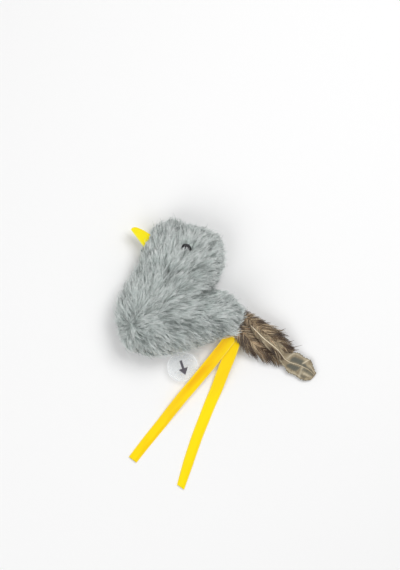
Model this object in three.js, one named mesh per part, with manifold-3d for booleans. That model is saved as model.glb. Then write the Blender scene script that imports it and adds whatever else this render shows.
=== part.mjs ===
// A plush bird that chirps when a cat bats it, lying on its side as it lies on a floor.
// Millimetres, +Z up. The origin is on the floor, under the middle of the body.
// +X points to the tail and +Y to the head, so a view from above shows the bird's side.
import * as THREE from "three";
import { mergeVertices } from "three/addons/utils/BufferGeometryUtils.js";
import Module from "manifold-3d";

const wasm = await Module();
wasm.setup();

// Driving sizes of the stuffed body.
const bodyLength = 77; // breast to rump
const seamHeight = 12; // the rim seam above the floor
const upperBulge = 22.5; // the upper side above the seam
const pressDepth = 0.5; // how much the bird's weight flattens the lower side
const upperRun = 30; // how far in from the seam the upper side stops rising
const lowerRun = 22; // the same for the lower side
const headDropShare = 0.1; // how much thinner the head is than the body
const plushDepth = 4.4; // fur fabric: its backing and the pile that lies on it
const lowerPlushDepth = 3.2; // the same fabric, pressed on the lower side
const seamGap = 0.3;
const seat = 0.3; // the gap that pieces which touch keep between their faces
const fillingGap = 0.6; // the filling is soft, so it stays a little clear of the lining
const overrun = 1; // how far a cutting tool passes the face that it opens
const fullTurn = 2 * Math.PI;

// Places on the bird's side are pixels of the photograph that it was measured from.
const originPixel = [178, 305];
const bodyLengthPixels = 128.5;
const centrePixel = [172, 300];
const crownPixel = [176.5, 217.6];
const outlinePixels = [
  [149, 233], [152, 227.5], [159.7, 221.4], [167.3, 218], [176.5, 217.6], [185.7, 221.4],
  [198, 225.3], [207.1, 229.8], [217.1, 234.4], [221.7, 241.3], [224, 250.5], [224, 261.2],
  [222.5, 270.4], [218.6, 279.6], [214, 288], [222.5, 290.3], [231.6, 295.7], [239.3, 302.6],
  [243.9, 309.4], [244.6, 316.3], [242.4, 325.5], [238.5, 333.2], [227, 336.2], [216.3, 340],
  [204, 345.4], [191.8, 349.2], [176.5, 352.3], [161.2, 354.9], [145.9, 354.6], [133.7, 349.2],
  [123, 346.2], [119.1, 336.2], [116.1, 322.4], [116.8, 310.2], [119.9, 299.5], [124.5, 287.2],
  [130.6, 278], [136.7, 267.3], [139.8, 255.1], [142.1, 247.5], [145.9, 241.3],
];
const neckPixels = [[214, 289], [136.5, 266]];
const modulePixel = [162, 306];
const eyePixel = [186, 249.5];
const beakTipPixel = [131.5, 228.5];
const beakFoldPixel = [147.3, 251];
const beakOpenPixel = [152.5, 232.7];
const tailRootPixel = [237.7, 316];
const tailTipPixel = [318, 380];
const outlineSteps = 64;

const pixel = bodyLength / bodyLengthPixels;
const onSide = ([column, row]) =>
  new THREE.Vector2((column - originPixel[0]) * pixel, (originPixel[1] - row) * pixel);

const colours = {
  plush: 0x9aa3a1,
  fibre: 0xe9e9e4,
  thread: 0x6f7775,
  felt: 0xf8e312,
  ribbon: 0xf6cf0b,
  eye: 0x0b0c0d,
  film: 0xf2f2f2,
  abs: 0xe8e6df,
  board: 0x2f6b3c,
  epoxy: 0x101010,
  steel: 0xc2c4c4,
  brass: 0xc9a24b,
  ceramic: 0xdedbd0,
  red: 0xb8231c,
  black: 0x151515,
  featherBrown: 0x6b523c,
  featherBuff: 0x8d7b60,
  featherDark: 0x4a3a2c,
};

const matt = (colour) => new THREE.MeshStandardMaterial({ color: colour, roughness: 0.9, metalness: 0 });
const gloss = (colour) => new THREE.MeshStandardMaterial({ color: colour, roughness: 0.25, metalness: 0 });
const metal = (colour) => new THREE.MeshStandardMaterial({ color: colour, roughness: 0.35, metalness: 1 });

const toySide = new THREE.Group();

// Geometry and solids. A solid is a manifold-3d body, used to join and cut.
function solidOf(geometry) {
  const bare = geometry.clone();
  bare.deleteAttribute("normal");
  bare.deleteAttribute("uv");
  const merged = mergeVertices(bare, 1e-4);
  return new wasm.Manifold(
    new wasm.Mesh({
      numProp: 3,
      vertProperties: merged.attributes.position.array,
      triVerts: new Uint32Array(merged.index.array),
    }),
  );
}

function geometryOf(solid) {
  const mesh = solid.getMesh();
  const geometry = new THREE.BufferGeometry();
  geometry.setAttribute("position", new THREE.BufferAttribute(mesh.vertProperties, 3));
  geometry.setIndex(new THREE.BufferAttribute(mesh.triVerts, 1));
  geometry.computeVertexNormals();
  return geometry;
}

const cut = (solid, ...tools) => tools.reduce((left, tool) => left.subtract(tool), solid);
const join = (solid, ...others) => others.reduce((all, other) => all.add(other), solid);

function place(group, name, solid, material) {
  const mesh = new THREE.Mesh(geometryOf(solid), material);
  mesh.name = name;
  group.add(mesh);
  return mesh;
}

// A closed skin over rings of points. Each ring has the same count, and the ends close to a middle point.
function skinOver(rings) {
  const count = rings[0].length;
  const middle = (ring) =>
    ring.reduce((sum, p) => sum.add(p), new THREE.Vector3()).divideScalar(ring.length);
  const points = [...rings.flat(), middle(rings[0]), middle(rings[rings.length - 1])];
  const startPole = rings.length * count;
  const endPole = startPole + 1;
  const faces = [];
  for (let i = 0; i < rings.length - 1; i += 1) {
    for (let j = 0; j < count; j += 1) {
      const next = (j + 1) % count;
      const [a, b] = [i * count + j, i * count + next];
      const [c, d] = [a + count, b + count];
      faces.push(a, b, d, a, d, c);
    }
  }
  const last = (rings.length - 1) * count;
  for (let j = 0; j < count; j += 1) {
    const next = (j + 1) % count;
    faces.push(startPole, next, j, endPole, last + j, last + next);
  }
  const geometry = new THREE.BufferGeometry().setFromPoints(points);
  geometry.setIndex(faces);
  return geometry;
}

// A skin turned the right way out, whichever way its rings were wound.
function solidOver(rings) {
  const solid = solidOf(skinOver(rings));
  return solid.volume() > 0 ? solid : solidOf(skinOver(rings.map((ring) => [...ring].reverse())));
}

function turned(geometry, place3, turn = new THREE.Euler()) {
  return geometry.applyMatrix4(
    new THREE.Matrix4().makeTranslation(place3).multiply(new THREE.Matrix4().makeRotationFromEuler(turn)),
  );
}

// A round bar along Z from low to high.
function bar(radius, low, high, x = 0, y = 0, sides = 16) {
  const geometry = new THREE.CylinderGeometry(radius, radius, high - low, sides);
  const upright = new THREE.Euler(Math.PI / 2, 0, 0);
  return solidOf(turned(geometry, new THREE.Vector3(x, y, (low + high) / 2), upright));
}

function block(sizeX, sizeY, low, high, x = 0, y = 0) {
  const geometry = new THREE.BoxGeometry(sizeX, sizeY, high - low);
  return solidOf(turned(geometry, new THREE.Vector3(x, y, (low + high) / 2)));
}

// A flat outline given thickness from low to high.
function slab(corners, low, high) {
  const shape = new THREE.Shape(corners.map(([x, y]) => new THREE.Vector2(x, y)));
  const geometry = new THREE.ExtrudeGeometry(shape, { depth: high - low, bevelEnabled: false });
  return solidOf(turned(geometry, new THREE.Vector3(0, 0, low)));
}

// A round tube through points, with a ring of sides at each one.
function tube(points, radius, sides = 6) {
  const rings = points.map((p, i) => {
    const ahead = points[Math.min(i + 1, points.length - 1)];
    const behind = points[Math.max(i - 1, 0)];
    const along = ahead.clone().sub(behind).normalize();
    const up = Math.abs(along.z) > 0.9 ? new THREE.Vector3(1, 0, 0) : new THREE.Vector3(0, 0, 1);
    const across = new THREE.Vector3().crossVectors(along, up).normalize();
    const rise = new THREE.Vector3().crossVectors(across, along);
    return Array.from({ length: sides }, (_, k) => {
      const a = (2 * Math.PI * k) / sides;
      const [u, v] = [radius * Math.cos(a), radius * Math.sin(a)];
      return p.clone().addScaledVector(across, u).addScaledVector(rise, v);
    });
  });
  return solidOver(rings);
}

// The body outline, and the stuffed shape that it swells into.
const centre = onSide(centrePixel);
const outlineCurve = new THREE.CatmullRomCurve3(
  outlinePixels.map(onSide).map((p) => new THREE.Vector3(p.x, p.y, 0)),
  true,
);
const outline = outlineCurve
  .getSpacedPoints(outlineSteps)
  .slice(0, outlineSteps)
  .map((p) => new THREE.Vector2(p.x, p.y));

// The outline drawn in towards the centre by a margin.
function inset(points, margin) {
  return points.map((p) => {
    const arm = p.clone().sub(centre);
    return centre.clone().addScaledVector(arm, 1 - margin / arm.length());
  });
}

function distanceToEdge(x, y, points) {
  let best = Infinity;
  points.forEach((a, i) => {
    const b = points[(i + 1) % points.length];
    const [dx, dy] = [b.x - a.x, b.y - a.y];
    const t = THREE.MathUtils.clamp(((x - a.x) * dx + (y - a.y) * dy) / (dx * dx + dy * dy), 0, 1);
    best = Math.min(best, Math.hypot(x - a.x - t * dx, y - a.y - t * dy));
  });
  return best;
}

// How far a stuffed shape has swollen, from 0 at its seam to 1 once it is a run away from it.
function swell(x, y, points, run) {
  const u = Math.min(distanceToEdge(x, y, points) / run, 1);
  return Math.sqrt(1 - (1 - u) ** 2);
}

const neckShare = 0.35; // how far up from the centre to the crown the head starts
const crown = onSide(crownPixel);
const headTaper = (y) =>
  1 - headDropShare * THREE.MathUtils.smoothstep((y - centre.y) / (crown.y - centre.y), neckShare, 1);

// The heights of the fabric's faces: the upper side rises from its rim, the lower one drops to the floor.
const lining = inset(outline, plushDepth);
const fillingEdge = inset(outline, plushDepth + fillingGap);
const upperRim = seamHeight + seamGap / 2;
const lowerRim = seamHeight - seamGap / 2;
const lowerBulge = lowerRim + pressDepth;
const upperFaceAt = (x, y) => upperRim + upperBulge * headTaper(y) * swell(x, y, outline, upperRun);
const upperLiningAt = (x, y) =>
  upperRim + (upperBulge - plushDepth) * headTaper(y) * swell(x, y, lining, upperRun);
const lowerFaceAt = (x, y) => Math.max(lowerRim - lowerBulge * swell(x, y, outline, lowerRun), 0);
const lowerLiningAt = (x, y) =>
  Math.max(lowerRim - (lowerBulge - lowerPlushDepth) * swell(x, y, lining, lowerRun), lowerPlushDepth);
const fillingTopAt = (x, y) =>
  seamHeight + (upperBulge - plushDepth - fillingGap) * headTaper(y) * swell(x, y, fillingEdge, upperRun);
const fillingFootAt = (x, y) =>
  Math.max(
    seamHeight - (lowerBulge - lowerPlushDepth - fillingGap) * swell(x, y, fillingEdge, lowerRun),
    lowerPlushDepth + fillingGap,
  );

// Rings around the centre, closer together at the rim where the shape is steep.
function domeRings(points, heightAt, ringShares) {
  return ringShares.map((share) =>
    points.map((p) => {
      const q = centre.clone().addScaledVector(p.clone().sub(centre), share);
      return new THREE.Vector3(q.x, q.y, heightAt(q.x, q.y));
    }),
  );
}

const faceRingShares = [1, 0.99, 0.965, 0.925, 0.86, 0.76, 0.6, 0.4, 0.18];
const liningRingShares = [1, 0.97, 0.9, 0.78, 0.58, 0.3];

// Fabric over one side of the bird: out over its face and back along its lining.
function plushShell(faceAt, liningAt) {
  return solidOver([
    ...domeRings(lining, liningAt, [...liningRingShares].reverse()),
    ...domeRings(outline, faceAt, faceRingShares),
  ]);
}

function fillingBlank() {
  return solidOver([
    ...domeRings(fillingEdge, fillingFootAt, [...liningRingShares].reverse()),
    ...domeRings(fillingEdge, fillingTopAt, liningRingShares),
  ]);
}

// The neck line parts the head from the body. Each zone holds all that lies on its side of it.
const [neckRight, neckLeft] = neckPixels.map(onSide);
const neckRun = neckLeft.clone().sub(neckRight).normalize();
const neckUp = new THREE.Vector2(neckRun.y, -neckRun.x);
const zoneReach = bodyLength;
const zoneTop = seamHeight + upperBulge + overrun;
function neckZone(sign) {
  const corners = [
    [-zoneReach, (sign * seamGap) / 2], [2 * zoneReach, (sign * seamGap) / 2],
    [2 * zoneReach, sign * zoneReach], [-zoneReach, sign * zoneReach],
  ];
  return slab(
    corners.map(([u, v]) => [
      neckRight.x + u * neckRun.x + v * neckUp.x,
      neckRight.y + u * neckRun.y + v * neckUp.y,
    ]),
    -overrun,
    zoneTop,
  );
}

// The sound module sits in the filling, tipped so that its pull tab points down to the floor.
const moduleTilt = THREE.MathUtils.degToRad(6);
const moduleHeight = 13.6; // its middle above the floor
const tabHeading = THREE.MathUtils.degToRad(-71.4); // which way the tab points, seen from above
const moduleMiddle = onSide(modulePixel);
const moduleFrame = new THREE.Matrix4()
  .makeTranslation(moduleMiddle.x, moduleMiddle.y, moduleHeight)
  .multiply(new THREE.Matrix4().makeRotationZ(tabHeading))
  .multiply(new THREE.Matrix4().makeRotationY(moduleTilt));
const moduleGroup = new THREE.Group();
moduleGroup.applyMatrix4(moduleFrame);

// What stands in the case, from its floor up: links, tab, cells, links, board and motion switch.
const cellRadius = 3.95;
const cellHeight = 3.6;
const linkThickness = 0.3;
const linkWidth = 4;
const tabFilm = 0.25;
const boardThickness = 1;
const canRadius = 1.65;
const switchHeadroom = 1;
const caseWall = 1.2;
const cellGap = 0.4;
const cellPitch = 2 * cellRadius + cellGap;
const cellShift = 1; // the row of cells lies this far towards the tab
const cellMargin = 1; // from the outer cells to the case's wall
const caseRadius = Math.hypot(cellShift, cellPitch) + cellRadius + cellMargin + caseWall;
const stackHeight =
  seat + linkThickness + seat + tabFilm + seat + cellHeight + seat + linkThickness + seat + boardThickness;
const caseHalf = caseWall + (stackHeight + seat + 2 * canRadius + switchHeadroom) / 2;
const floorLevel = -caseHalf + caseWall;
const lowLinkLevel = floorLevel + seat;
const tabLevel = lowLinkLevel + linkThickness + seat;
const cellLevel = tabLevel + tabFilm + seat;
const highLinkLevel = cellLevel + cellHeight + seat;
const boardLevel = highLinkLevel + linkThickness + seat;
const boardTop = boardLevel + boardThickness;
const boardRadius = caseRadius - caseWall - seat;
const caseSplit = boardLevel + boardThickness / 2; // where the two halves of the case meet
const roundSides = 40;

// Three screws pull the halves together. Two of them stand clear of the row of cells.
const postRadius = 2;
const postBite = 0.4; // how deep a post runs into the wall beside it
const postCircle = caseRadius - caseWall - postRadius + postBite;
const postAngles = [50, -50, 180].map((a) => THREE.MathUtils.degToRad(a));
const screwHeadRadius = 1.5;
const screwHeadHeight = 1;
const screwRadius = 0.8;
const screwSink = 0.3;
const screwGrip = 2.5; // how far it reaches into the cover's post
const postPlaces = postAngles.map((a) => [postCircle * Math.cos(a), postCircle * Math.sin(a)]);

const tabWidth = 6;
const tabStart = cellShift - cellRadius; // the strip's inner end, under the middle cell
const gripCentre = 39.3; // from the module's middle to the middle of the grip
const gripRadius = 9.3;
const slitHeight = 1.1;

function tabSlit(from, to) {
  const middle = tabLevel + tabFilm / 2;
  const width = tabWidth + 2 * seat;
  return block(to - from, width, middle - slitHeight / 2, middle + slitHeight / 2, (from + to) / 2, 0);
}

function caseBase() {
  const cup = cut(
    bar(caseRadius, -caseHalf, caseSplit, 0, 0, roundSides),
    bar(caseRadius - caseWall, floorLevel, caseSplit + overrun, 0, 0, roundSides),
  );
  const posts = postPlaces.map(([x, y]) => bar(postRadius, -caseHalf + caseWall / 2, caseSplit, x, y));
  const headTop = -caseHalf + screwSink + screwHeadHeight + seat;
  const bores = postPlaces.flatMap(([x, y]) => [
    bar(screwRadius + seat, -caseHalf - overrun, caseSplit + overrun, x, y),
    bar(screwHeadRadius + seat, -caseHalf - overrun, headTop, x, y),
  ]);
  return cut(join(cup, ...posts), ...bores, tabSlit(caseRadius - 2 * caseWall, caseRadius + overrun));
}

const soundHoleRadius = 0.8;
const soundHoleCircle = 3.4;
const soundHoleCount = 6;
const piezoShift = -2; // the sounder sits away from the motion switch
const coverLow = caseSplit + seat;
const coverCeiling = caseHalf - caseWall;

function caseCover() {
  const cap = cut(
    bar(caseRadius, coverLow, caseHalf, 0, 0, roundSides),
    bar(caseRadius - caseWall, coverLow - overrun, coverCeiling, 0, 0, roundSides),
  );
  const posts = postPlaces.map(([x, y]) => bar(postRadius, coverLow, coverCeiling + caseWall / 2, x, y));
  const pilots = postPlaces.map(([x, y]) => bar(screwRadius + seat, coverLow - overrun, coverCeiling, x, y));
  const holes = [[piezoShift, 0]];
  for (let i = 0; i < soundHoleCount; i += 1) {
    const a = (fullTurn * i) / soundHoleCount;
    holes.push([piezoShift + soundHoleCircle * Math.cos(a), soundHoleCircle * Math.sin(a)]);
  }
  const [holeLow, holeHigh] = [coverCeiling - overrun, caseHalf + overrun];
  const grille = holes.map(([x, y]) => bar(soundHoleRadius, holeLow, holeHigh, x, y, 12));
  return cut(join(cap, ...posts), ...pilots, ...grille);
}

place(moduleGroup, "case_base", caseBase(), gloss(colours.abs));
place(moduleGroup, "case_cover", caseCover(), gloss(colours.abs));

const screwSlotWidth = 0.4;
const screwSlotDepth = 0.5;
postPlaces.forEach(([x, y], i) => {
  const headLow = -caseHalf + screwSink;
  const screw = join(
    bar(screwHeadRadius, headLow, headLow + screwHeadHeight, x, y, 16),
    bar(screwRadius, headLow, caseSplit + screwGrip, x, y, 12),
  );
  const slotLength = 2 * screwHeadRadius + overrun;
  const slot = block(slotLength, screwSlotWidth, headLow - overrun, headLow + screwSlotDepth, x, y);
  place(moduleGroup, `case_screw_${i + 1}`, cut(screw, slot), metal(colours.steel));
});

// Three button cells in a row, joined in series by links under and over them.
const cellRimRadius = 3.1; // the smaller, raised face of a button cell
const cellRimHeight = 0.4;
for (let i = -1; i <= 1; i += 1) {
  const rimDown = i === 0 ? cellRimHeight : 0;
  const rimUp = cellRimHeight - rimDown;
  const cell = join(
    bar(cellRadius, cellLevel + rimDown, cellLevel + cellHeight - rimUp, cellShift, i * cellPitch),
    bar(cellRimRadius, cellLevel, cellLevel + cellHeight, cellShift, i * cellPitch),
  );
  place(moduleGroup, `button_cell_${i + 2}`, cell, metal(colours.steel));
}
[
  ["battery_terminal_minus", lowLinkLevel, -1, -1],
  ["cell_link_low", lowLinkLevel, 0, 1],
  ["cell_link_high", highLinkLevel, -1, 0],
  ["battery_terminal_plus", highLinkLevel, 1, 1],
].forEach(([name, level, first, last]) => {
  const length = (last - first) * cellPitch + linkWidth;
  const middle = ((first + last) / 2) * cellPitch;
  const link = block(linkWidth, length, level, level + linkThickness, cellShift, middle);
  place(moduleGroup, name, link, metal(colours.steel));
});

// The circuit board, notched around the posts, and what is soldered on it.
const board = cut(
  bar(boardRadius, boardLevel, boardTop, 0, 0, roundSides),
  ...postPlaces.map(([x, y]) => bar(postRadius + seat, boardLevel - overrun, boardTop + overrun, x, y)),
);
place(moduleGroup, "circuit_board", board, matt(colours.board));
const onBoard = ([xShare, yShare]) => [xShare * boardRadius, yShare * boardRadius];

const chipRadius = 2.4;
const chipHeight = 1.1;
const chipPlaceShares = [-0.54, -0.48];
const blobShares = [[0, 0], [1, 0], [0.92, 0.45], [0.7, 0.8], [0.35, 0.97], [0, 1]];
const blobProfile = blobShares.map(([r, z]) => new THREE.Vector2(r * chipRadius, z * chipHeight));
const blob = turned(
  new THREE.LatheGeometry(blobProfile, 20),
  new THREE.Vector3(...onBoard(chipPlaceShares), boardTop + seat),
  new THREE.Euler(Math.PI / 2, 0, 0),
);
place(moduleGroup, "sound_chip", solidOf(blob), gloss(colours.epoxy));

const capacitorRadius = 1.5;
const capacitorHeight = 2.8;
const capacitorPlaceShares = [-0.23, -0.72];
const capacitorFoot = boardTop + seat;
const capacitor = bar(
  capacitorRadius,
  capacitorFoot,
  capacitorFoot + capacitorHeight,
  ...onBoard(capacitorPlaceShares),
);
place(moduleGroup, "capacitor", capacitor, gloss(colours.black));

// The piezo sounder under the cover, and its two leads down to the board.
const piezoRadius = 6.5;
const piezoPlate = 0.3;
const ceramicRadius = 5;
const ceramicThickness = 0.25;
const plateLevel = coverCeiling - seat - piezoPlate;
place(
  moduleGroup,
  "piezo_plate",
  bar(piezoRadius, plateLevel, plateLevel + piezoPlate, piezoShift, 0, 32),
  metal(colours.brass),
);
place(
  moduleGroup,
  "piezo_ceramic",
  bar(ceramicRadius, plateLevel - seat - ceramicThickness, plateLevel - seat, piezoShift, 0, 28),
  gloss(colours.ceramic),
);
const leadRadius = 0.35;
const leadSlack = 0.8; // how far a lead bows as it goes down
const padGap = 0.85; // from the ceramic's edge to the middle of a lead's solder joint
const leadTop = plateLevel - seat - leadRadius;
const leadFoot = boardTop + seat + leadRadius;
const padAside = ceramicRadius + padGap;
[
  ["sounder_lead_red", colours.red, 1],
  ["sounder_lead_black", colours.black, -1],
].forEach(([name, colour, side]) => {
  const points = [
    [0, 0, leadTop], [leadSlack / 2, leadSlack / 4, leadTop - leadSlack / 4],
    [leadSlack, leadSlack / 2, (leadTop + leadFoot) / 2],
    [leadSlack * 1.5, leadSlack, leadFoot + leadSlack / 2], [leadSlack * 2.5, leadSlack * 1.5, leadFoot],
  ].map(([x, y, z]) => new THREE.Vector3(piezoShift + x, side * (padAside + y), z));
  place(moduleGroup, name, tube(points, leadRadius, 8), gloss(colour));
});

// The motion switch: a ball that rolls in a metal can and closes its contacts when the toy is hit.
const canBore = 1.25;
const canLength = 8;
const canEnd = 0.5;
const canGap = 1.05; // between the can and the edge of the sounder above it
const canPlace = piezoShift + piezoRadius + canGap + canRadius;
const canMiddle = boardTop + seat + canRadius;
const canHalf = canLength / 2;
const ballRadius = 0.95;
const capCollar = 0.6;

function lying(radius, from, to) {
  const geometry = new THREE.CylinderGeometry(radius, radius, to - from, 20);
  return solidOf(turned(geometry, new THREE.Vector3(canPlace, (from + to) / 2, canMiddle)));
}

place(
  moduleGroup,
  "motion_switch_can",
  cut(lying(canRadius, -canHalf, canHalf), lying(canBore, canEnd - canHalf, canHalf + overrun)),
  metal(colours.brass),
);
place(
  moduleGroup,
  "motion_switch_cap",
  join(
    lying(canRadius, canHalf + seat, canHalf + seat + canEnd),
    lying(canBore - seat, canHalf - capCollar, canHalf + seat + canEnd),
  ),
  matt(colours.epoxy),
);
const ball = turned(
  new THREE.SphereGeometry(ballRadius, 12, 8),
  new THREE.Vector3(canPlace, canEnd - canHalf + ballRadius + seat, canMiddle),
);
place(moduleGroup, "motion_switch_ball", solidOf(ball), metal(colours.steel));

// The pull tab: clear film that keeps the cells apart from their link until it is drawn out.
const stripEnd = gripCentre - gripRadius / 2;
const pullTab = join(
  block(stripEnd - tabStart, tabWidth, tabLevel, tabLevel + tabFilm, (stripEnd + tabStart) / 2, 0),
  bar(gripRadius, tabLevel, tabLevel + tabFilm, gripCentre, 0, 40),
);
place(moduleGroup, "pull_tab", pullTab, gloss(colours.film));
toySide.add(moduleGroup);

// Cutting tools for the soft pieces around the module.
const inModuleFrame = (solid) => solidOf(geometryOf(solid).applyMatrix4(moduleFrame));
const pocket = inModuleFrame(bar(caseRadius + seat, -caseHalf - seat, caseHalf + seat, 0, 0, roundSides));
const tabPath = inModuleFrame(tabSlit(caseRadius - 2 * caseWall, gripCentre));

// The two eyes: black domes on stems, each held by a washer inside the fabric.
const eyeRadius = 3.4;
const eyeDome = 2.6;
const eyeSink = 2.5; // the foot of the dome below the top of the pile
const stemRadius = 1;
const washerRadius = 3;
const washerThickness = 0.9;
const washerStep = 0.6; // from the lining to the near face of a washer
const domeShares = [[1, 0], [0.97, 0.3], [0.85, 0.58], [0.62, 0.82], [0.32, 0.96], [0, 1]];
const eyeMiddle = onSide(eyePixel);

// A dome on its stem. Sign is 1 for the eye that looks up, and the allowance makes a cutting tool.
function eyeSolid(sign, foot, stemLength, allowance) {
  const profile = [
    [0, -stemLength - allowance], [stemRadius + allowance, -stemLength - allowance],
    [stemRadius + allowance, -allowance], [eyeRadius + allowance, -allowance],
    ...domeShares.map(([r, z]) => [r * (eyeRadius + allowance), z * (eyeDome + allowance)]),
  ].map(([r, z]) => new THREE.Vector2(r, z));
  const turn = new THREE.Euler((sign * Math.PI) / 2, 0, 0);
  const middle = new THREE.Vector3(eyeMiddle.x, eyeMiddle.y, foot);
  return solidOf(turned(new THREE.LatheGeometry(profile, 20), middle, turn));
}

// Each eye as [sign, foot of the dome, length of its stem, lower face of its washer].
const upperFoot = upperFaceAt(eyeMiddle.x, eyeMiddle.y) - eyeSink;
const upperWasher = upperLiningAt(eyeMiddle.x, eyeMiddle.y) - washerStep - washerThickness;
const lowerFoot = eyeDome + seat;
const lowerWasher = lowerPlushDepth + washerStep;
const eyes = {
  upper_eye: [1, upperFoot, upperFoot - upperWasher + seat, upperWasher],
  lower_eye: [-1, lowerFoot, lowerWasher + washerThickness - lowerFoot + seat, lowerWasher],
};
const eyeRooms = [];
Object.entries(eyes).forEach(([name, [sign, foot, stemLength, washerLow]]) => {
  const upright = (radius, low, high) => bar(radius, low, high, eyeMiddle.x, eyeMiddle.y);
  const washerHigh = washerLow + washerThickness;
  const hole = upright(stemRadius + seat, washerLow - overrun, washerHigh + overrun);
  const windowEnds = [foot, foot + sign * (eyeDome + overrun)].sort((a, b) => a - b);
  place(toySide, name, eyeSolid(sign, foot, stemLength, 0), gloss(colours.eye));
  const washer = cut(upright(washerRadius, washerLow, washerHigh), hole);
  place(toySide, `${name}_washer`, washer, gloss(colours.abs));
  eyeRooms.push(
    eyeSolid(sign, foot, stemLength, seat),
    upright(washerRadius + seat, washerLow - seat, washerHigh + seat),
    upright(eyeRadius + 2 * seat, ...windowEnds),
  );
});

// The beak: a felt triangle folded along its lower edge, with its root sewn into the seam.
const feltThickness = 0.9;
const beakGape = 2.2; // how far each open edge stands off the seam at the root
const beakTipShare = 0.14; // how blunt the tip is, as a share of the root
const beakMiddleShare = 0.55;
const beakTip = onSide(beakTipPixel);
const beakFold = onSide(beakFoldPixel);
const beakOpen = onSide(beakOpenPixel);

// One leaf of the fold, on the side that sign gives, or with an allowance the room for both leaves.
function beakLeaf(sign, allowance) {
  const across = beakOpen.clone().sub(beakFold);
  const rings = [beakTipShare, beakMiddleShare, 1].map((share) => {
    const foot = beakTip.clone().lerp(beakFold, share);
    const margin = allowance / (across.length() * share);
    const rise = beakGape * share;
    const half = feltThickness / 2 + allowance;
    const at = (along, z) => {
      const p = foot.clone().addScaledVector(across, along * share);
      return new THREE.Vector3(p.x, p.y, seamHeight + z);
    };
    const farLow = allowance > 0 ? -rise : sign * rise;
    const farHigh = allowance > 0 ? rise : sign * rise;
    return [
      at(-margin, half), at(1 + margin, farHigh + half),
      at(1 + margin, farLow - half), at(-margin, -half),
    ];
  });
  return solidOver(rings);
}

place(toySide, "beak", join(beakLeaf(1, 0), beakLeaf(-1, 0)), matt(colours.felt));
const beakRoom = beakLeaf(1, seat);

// A flat strip that follows points, with a width and a thickness at each of them.
const stripSectionShares = [
  [1, 0], [0.85, 1], [0, 1], [-0.85, 1], [-1, 0], [-0.85, -1], [0, -1], [0.85, -1],
];
function strip(points, widths, thicknesses) {
  const rings = points.map((p, i) => {
    const ahead = points[Math.min(i + 1, points.length - 1)];
    const behind = points[Math.max(i - 1, 0)];
    const along = ahead.clone().sub(behind).normalize();
    const across = new THREE.Vector3().crossVectors(along, new THREE.Vector3(0, 0, 1)).normalize();
    const rise = new THREE.Vector3().crossVectors(across, along);
    return stripSectionShares.map(([u, v]) =>
      p.clone().addScaledVector(across, (u * widths[i]) / 2).addScaledVector(rise, (v * thicknesses[i]) / 2),
    );
  });
  return solidOver(rings);
}

// The legs: two limp ribbons sewn into the seam, the front one over the rear one.
const ribbonWidth = 6.6;
const ribbonThickness = 0.4;
const ribbonRoutes = {
  front_leg_ribbon: [
    [35.2, -15.1, 13.1], [33.5, -17, 13.1], [31.8, -19.2, 12.8], [29.3, -22.5, 11.6], [26.6, -26.2, 9.9],
    [23.6, -30, 8.3], [20.5, -33.9, 7.2], [17.3, -37.9, 6.5], [14, -41.9, 6.0], [10.6, -46, 5.5],
    [6.9, -50.4, 5.1], [3, -55, 4.5], [-1, -60, 3.5], [-5, -65.1, 2.1], [-9, -70.3, 0.9],
    [-13.6, -76, 0.5], [-18.4, -81.9, 0.4], [-22.8, -87.5, 0.4], [-27.5, -93.6, 0.4],
  ],
  rear_leg_ribbon: [
    [36.1, -15.3, 12.1], [35.3, -17.5, 12.1], [34.4, -20, 11.7], [33.1, -24, 10.2], [31.7, -28.4, 8.2],
    [30, -33, 6.4], [28, -38, 5], [26, -43.2, 3.7], [24, -48.6, 2.4], [22.2, -53, 1.3],
    [20, -58, 0.6], [17.8, -63.4, 0.4], [15.6, -69, 0.4], [13.2, -75, 0.4], [10.8, -81.4, 0.4],
    [8.6, -87.8, 0.4], [6.4, -94.4, 0.4], [3.8, -102.6, 0.4], [1.2, -110.9, 0.4],
  ],
};
const ribbonRooms = Object.entries(ribbonRoutes).map(([name, route]) => {
  const points = route.map((p) => new THREE.Vector3(...p));
  const even = (value) => points.map(() => value);
  place(toySide, name, strip(points, even(ribbonWidth), even(ribbonThickness)), gloss(colours.ribbon));
  const start = points[0].clone().sub(points[1]).setLength(seat).add(points[0]);
  const room = [start, ...points.slice(1)];
  return strip(room, even(ribbonWidth + 2 * seat), even(ribbonThickness + 2 * seat));
});

// The tail: three feathers, bound together at their quills and held in the seam.
const tailRoot = onSide(tailRootPixel);
const tailTip = onSide(tailTipPixel);
const tailLength = tailTip.distanceTo(tailRoot);
const tailHeading = tailTip.clone().sub(tailRoot).normalize();
const tailSide = new THREE.Vector2(-tailHeading.y, tailHeading.x);
const tailHeight = seamHeight + seamGap;
const tailTipHeight = 2;
const tailFallPower = 1.6; // above 1, the tail drops fastest where it leaves the body
const featherStep = 1.5; // from one feather down to the next
const quillRadius = 0.45;
const quillPitch = 1.6;
const vaneRidge = 1.1;
const vaneEdgeShare = 0.35;
const tailPoint = (away, aside, z) =>
  new THREE.Vector3(
    tailRoot.x + away * tailHeading.x + aside * tailSide.x,
    tailRoot.y + away * tailHeading.y + aside * tailSide.y,
    z,
  );
const quillBack = -2;
const quillFront = 4;
const barredVane = 13.4;
const upperVane = 13.4;
const lowerVane = 14.6;

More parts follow.
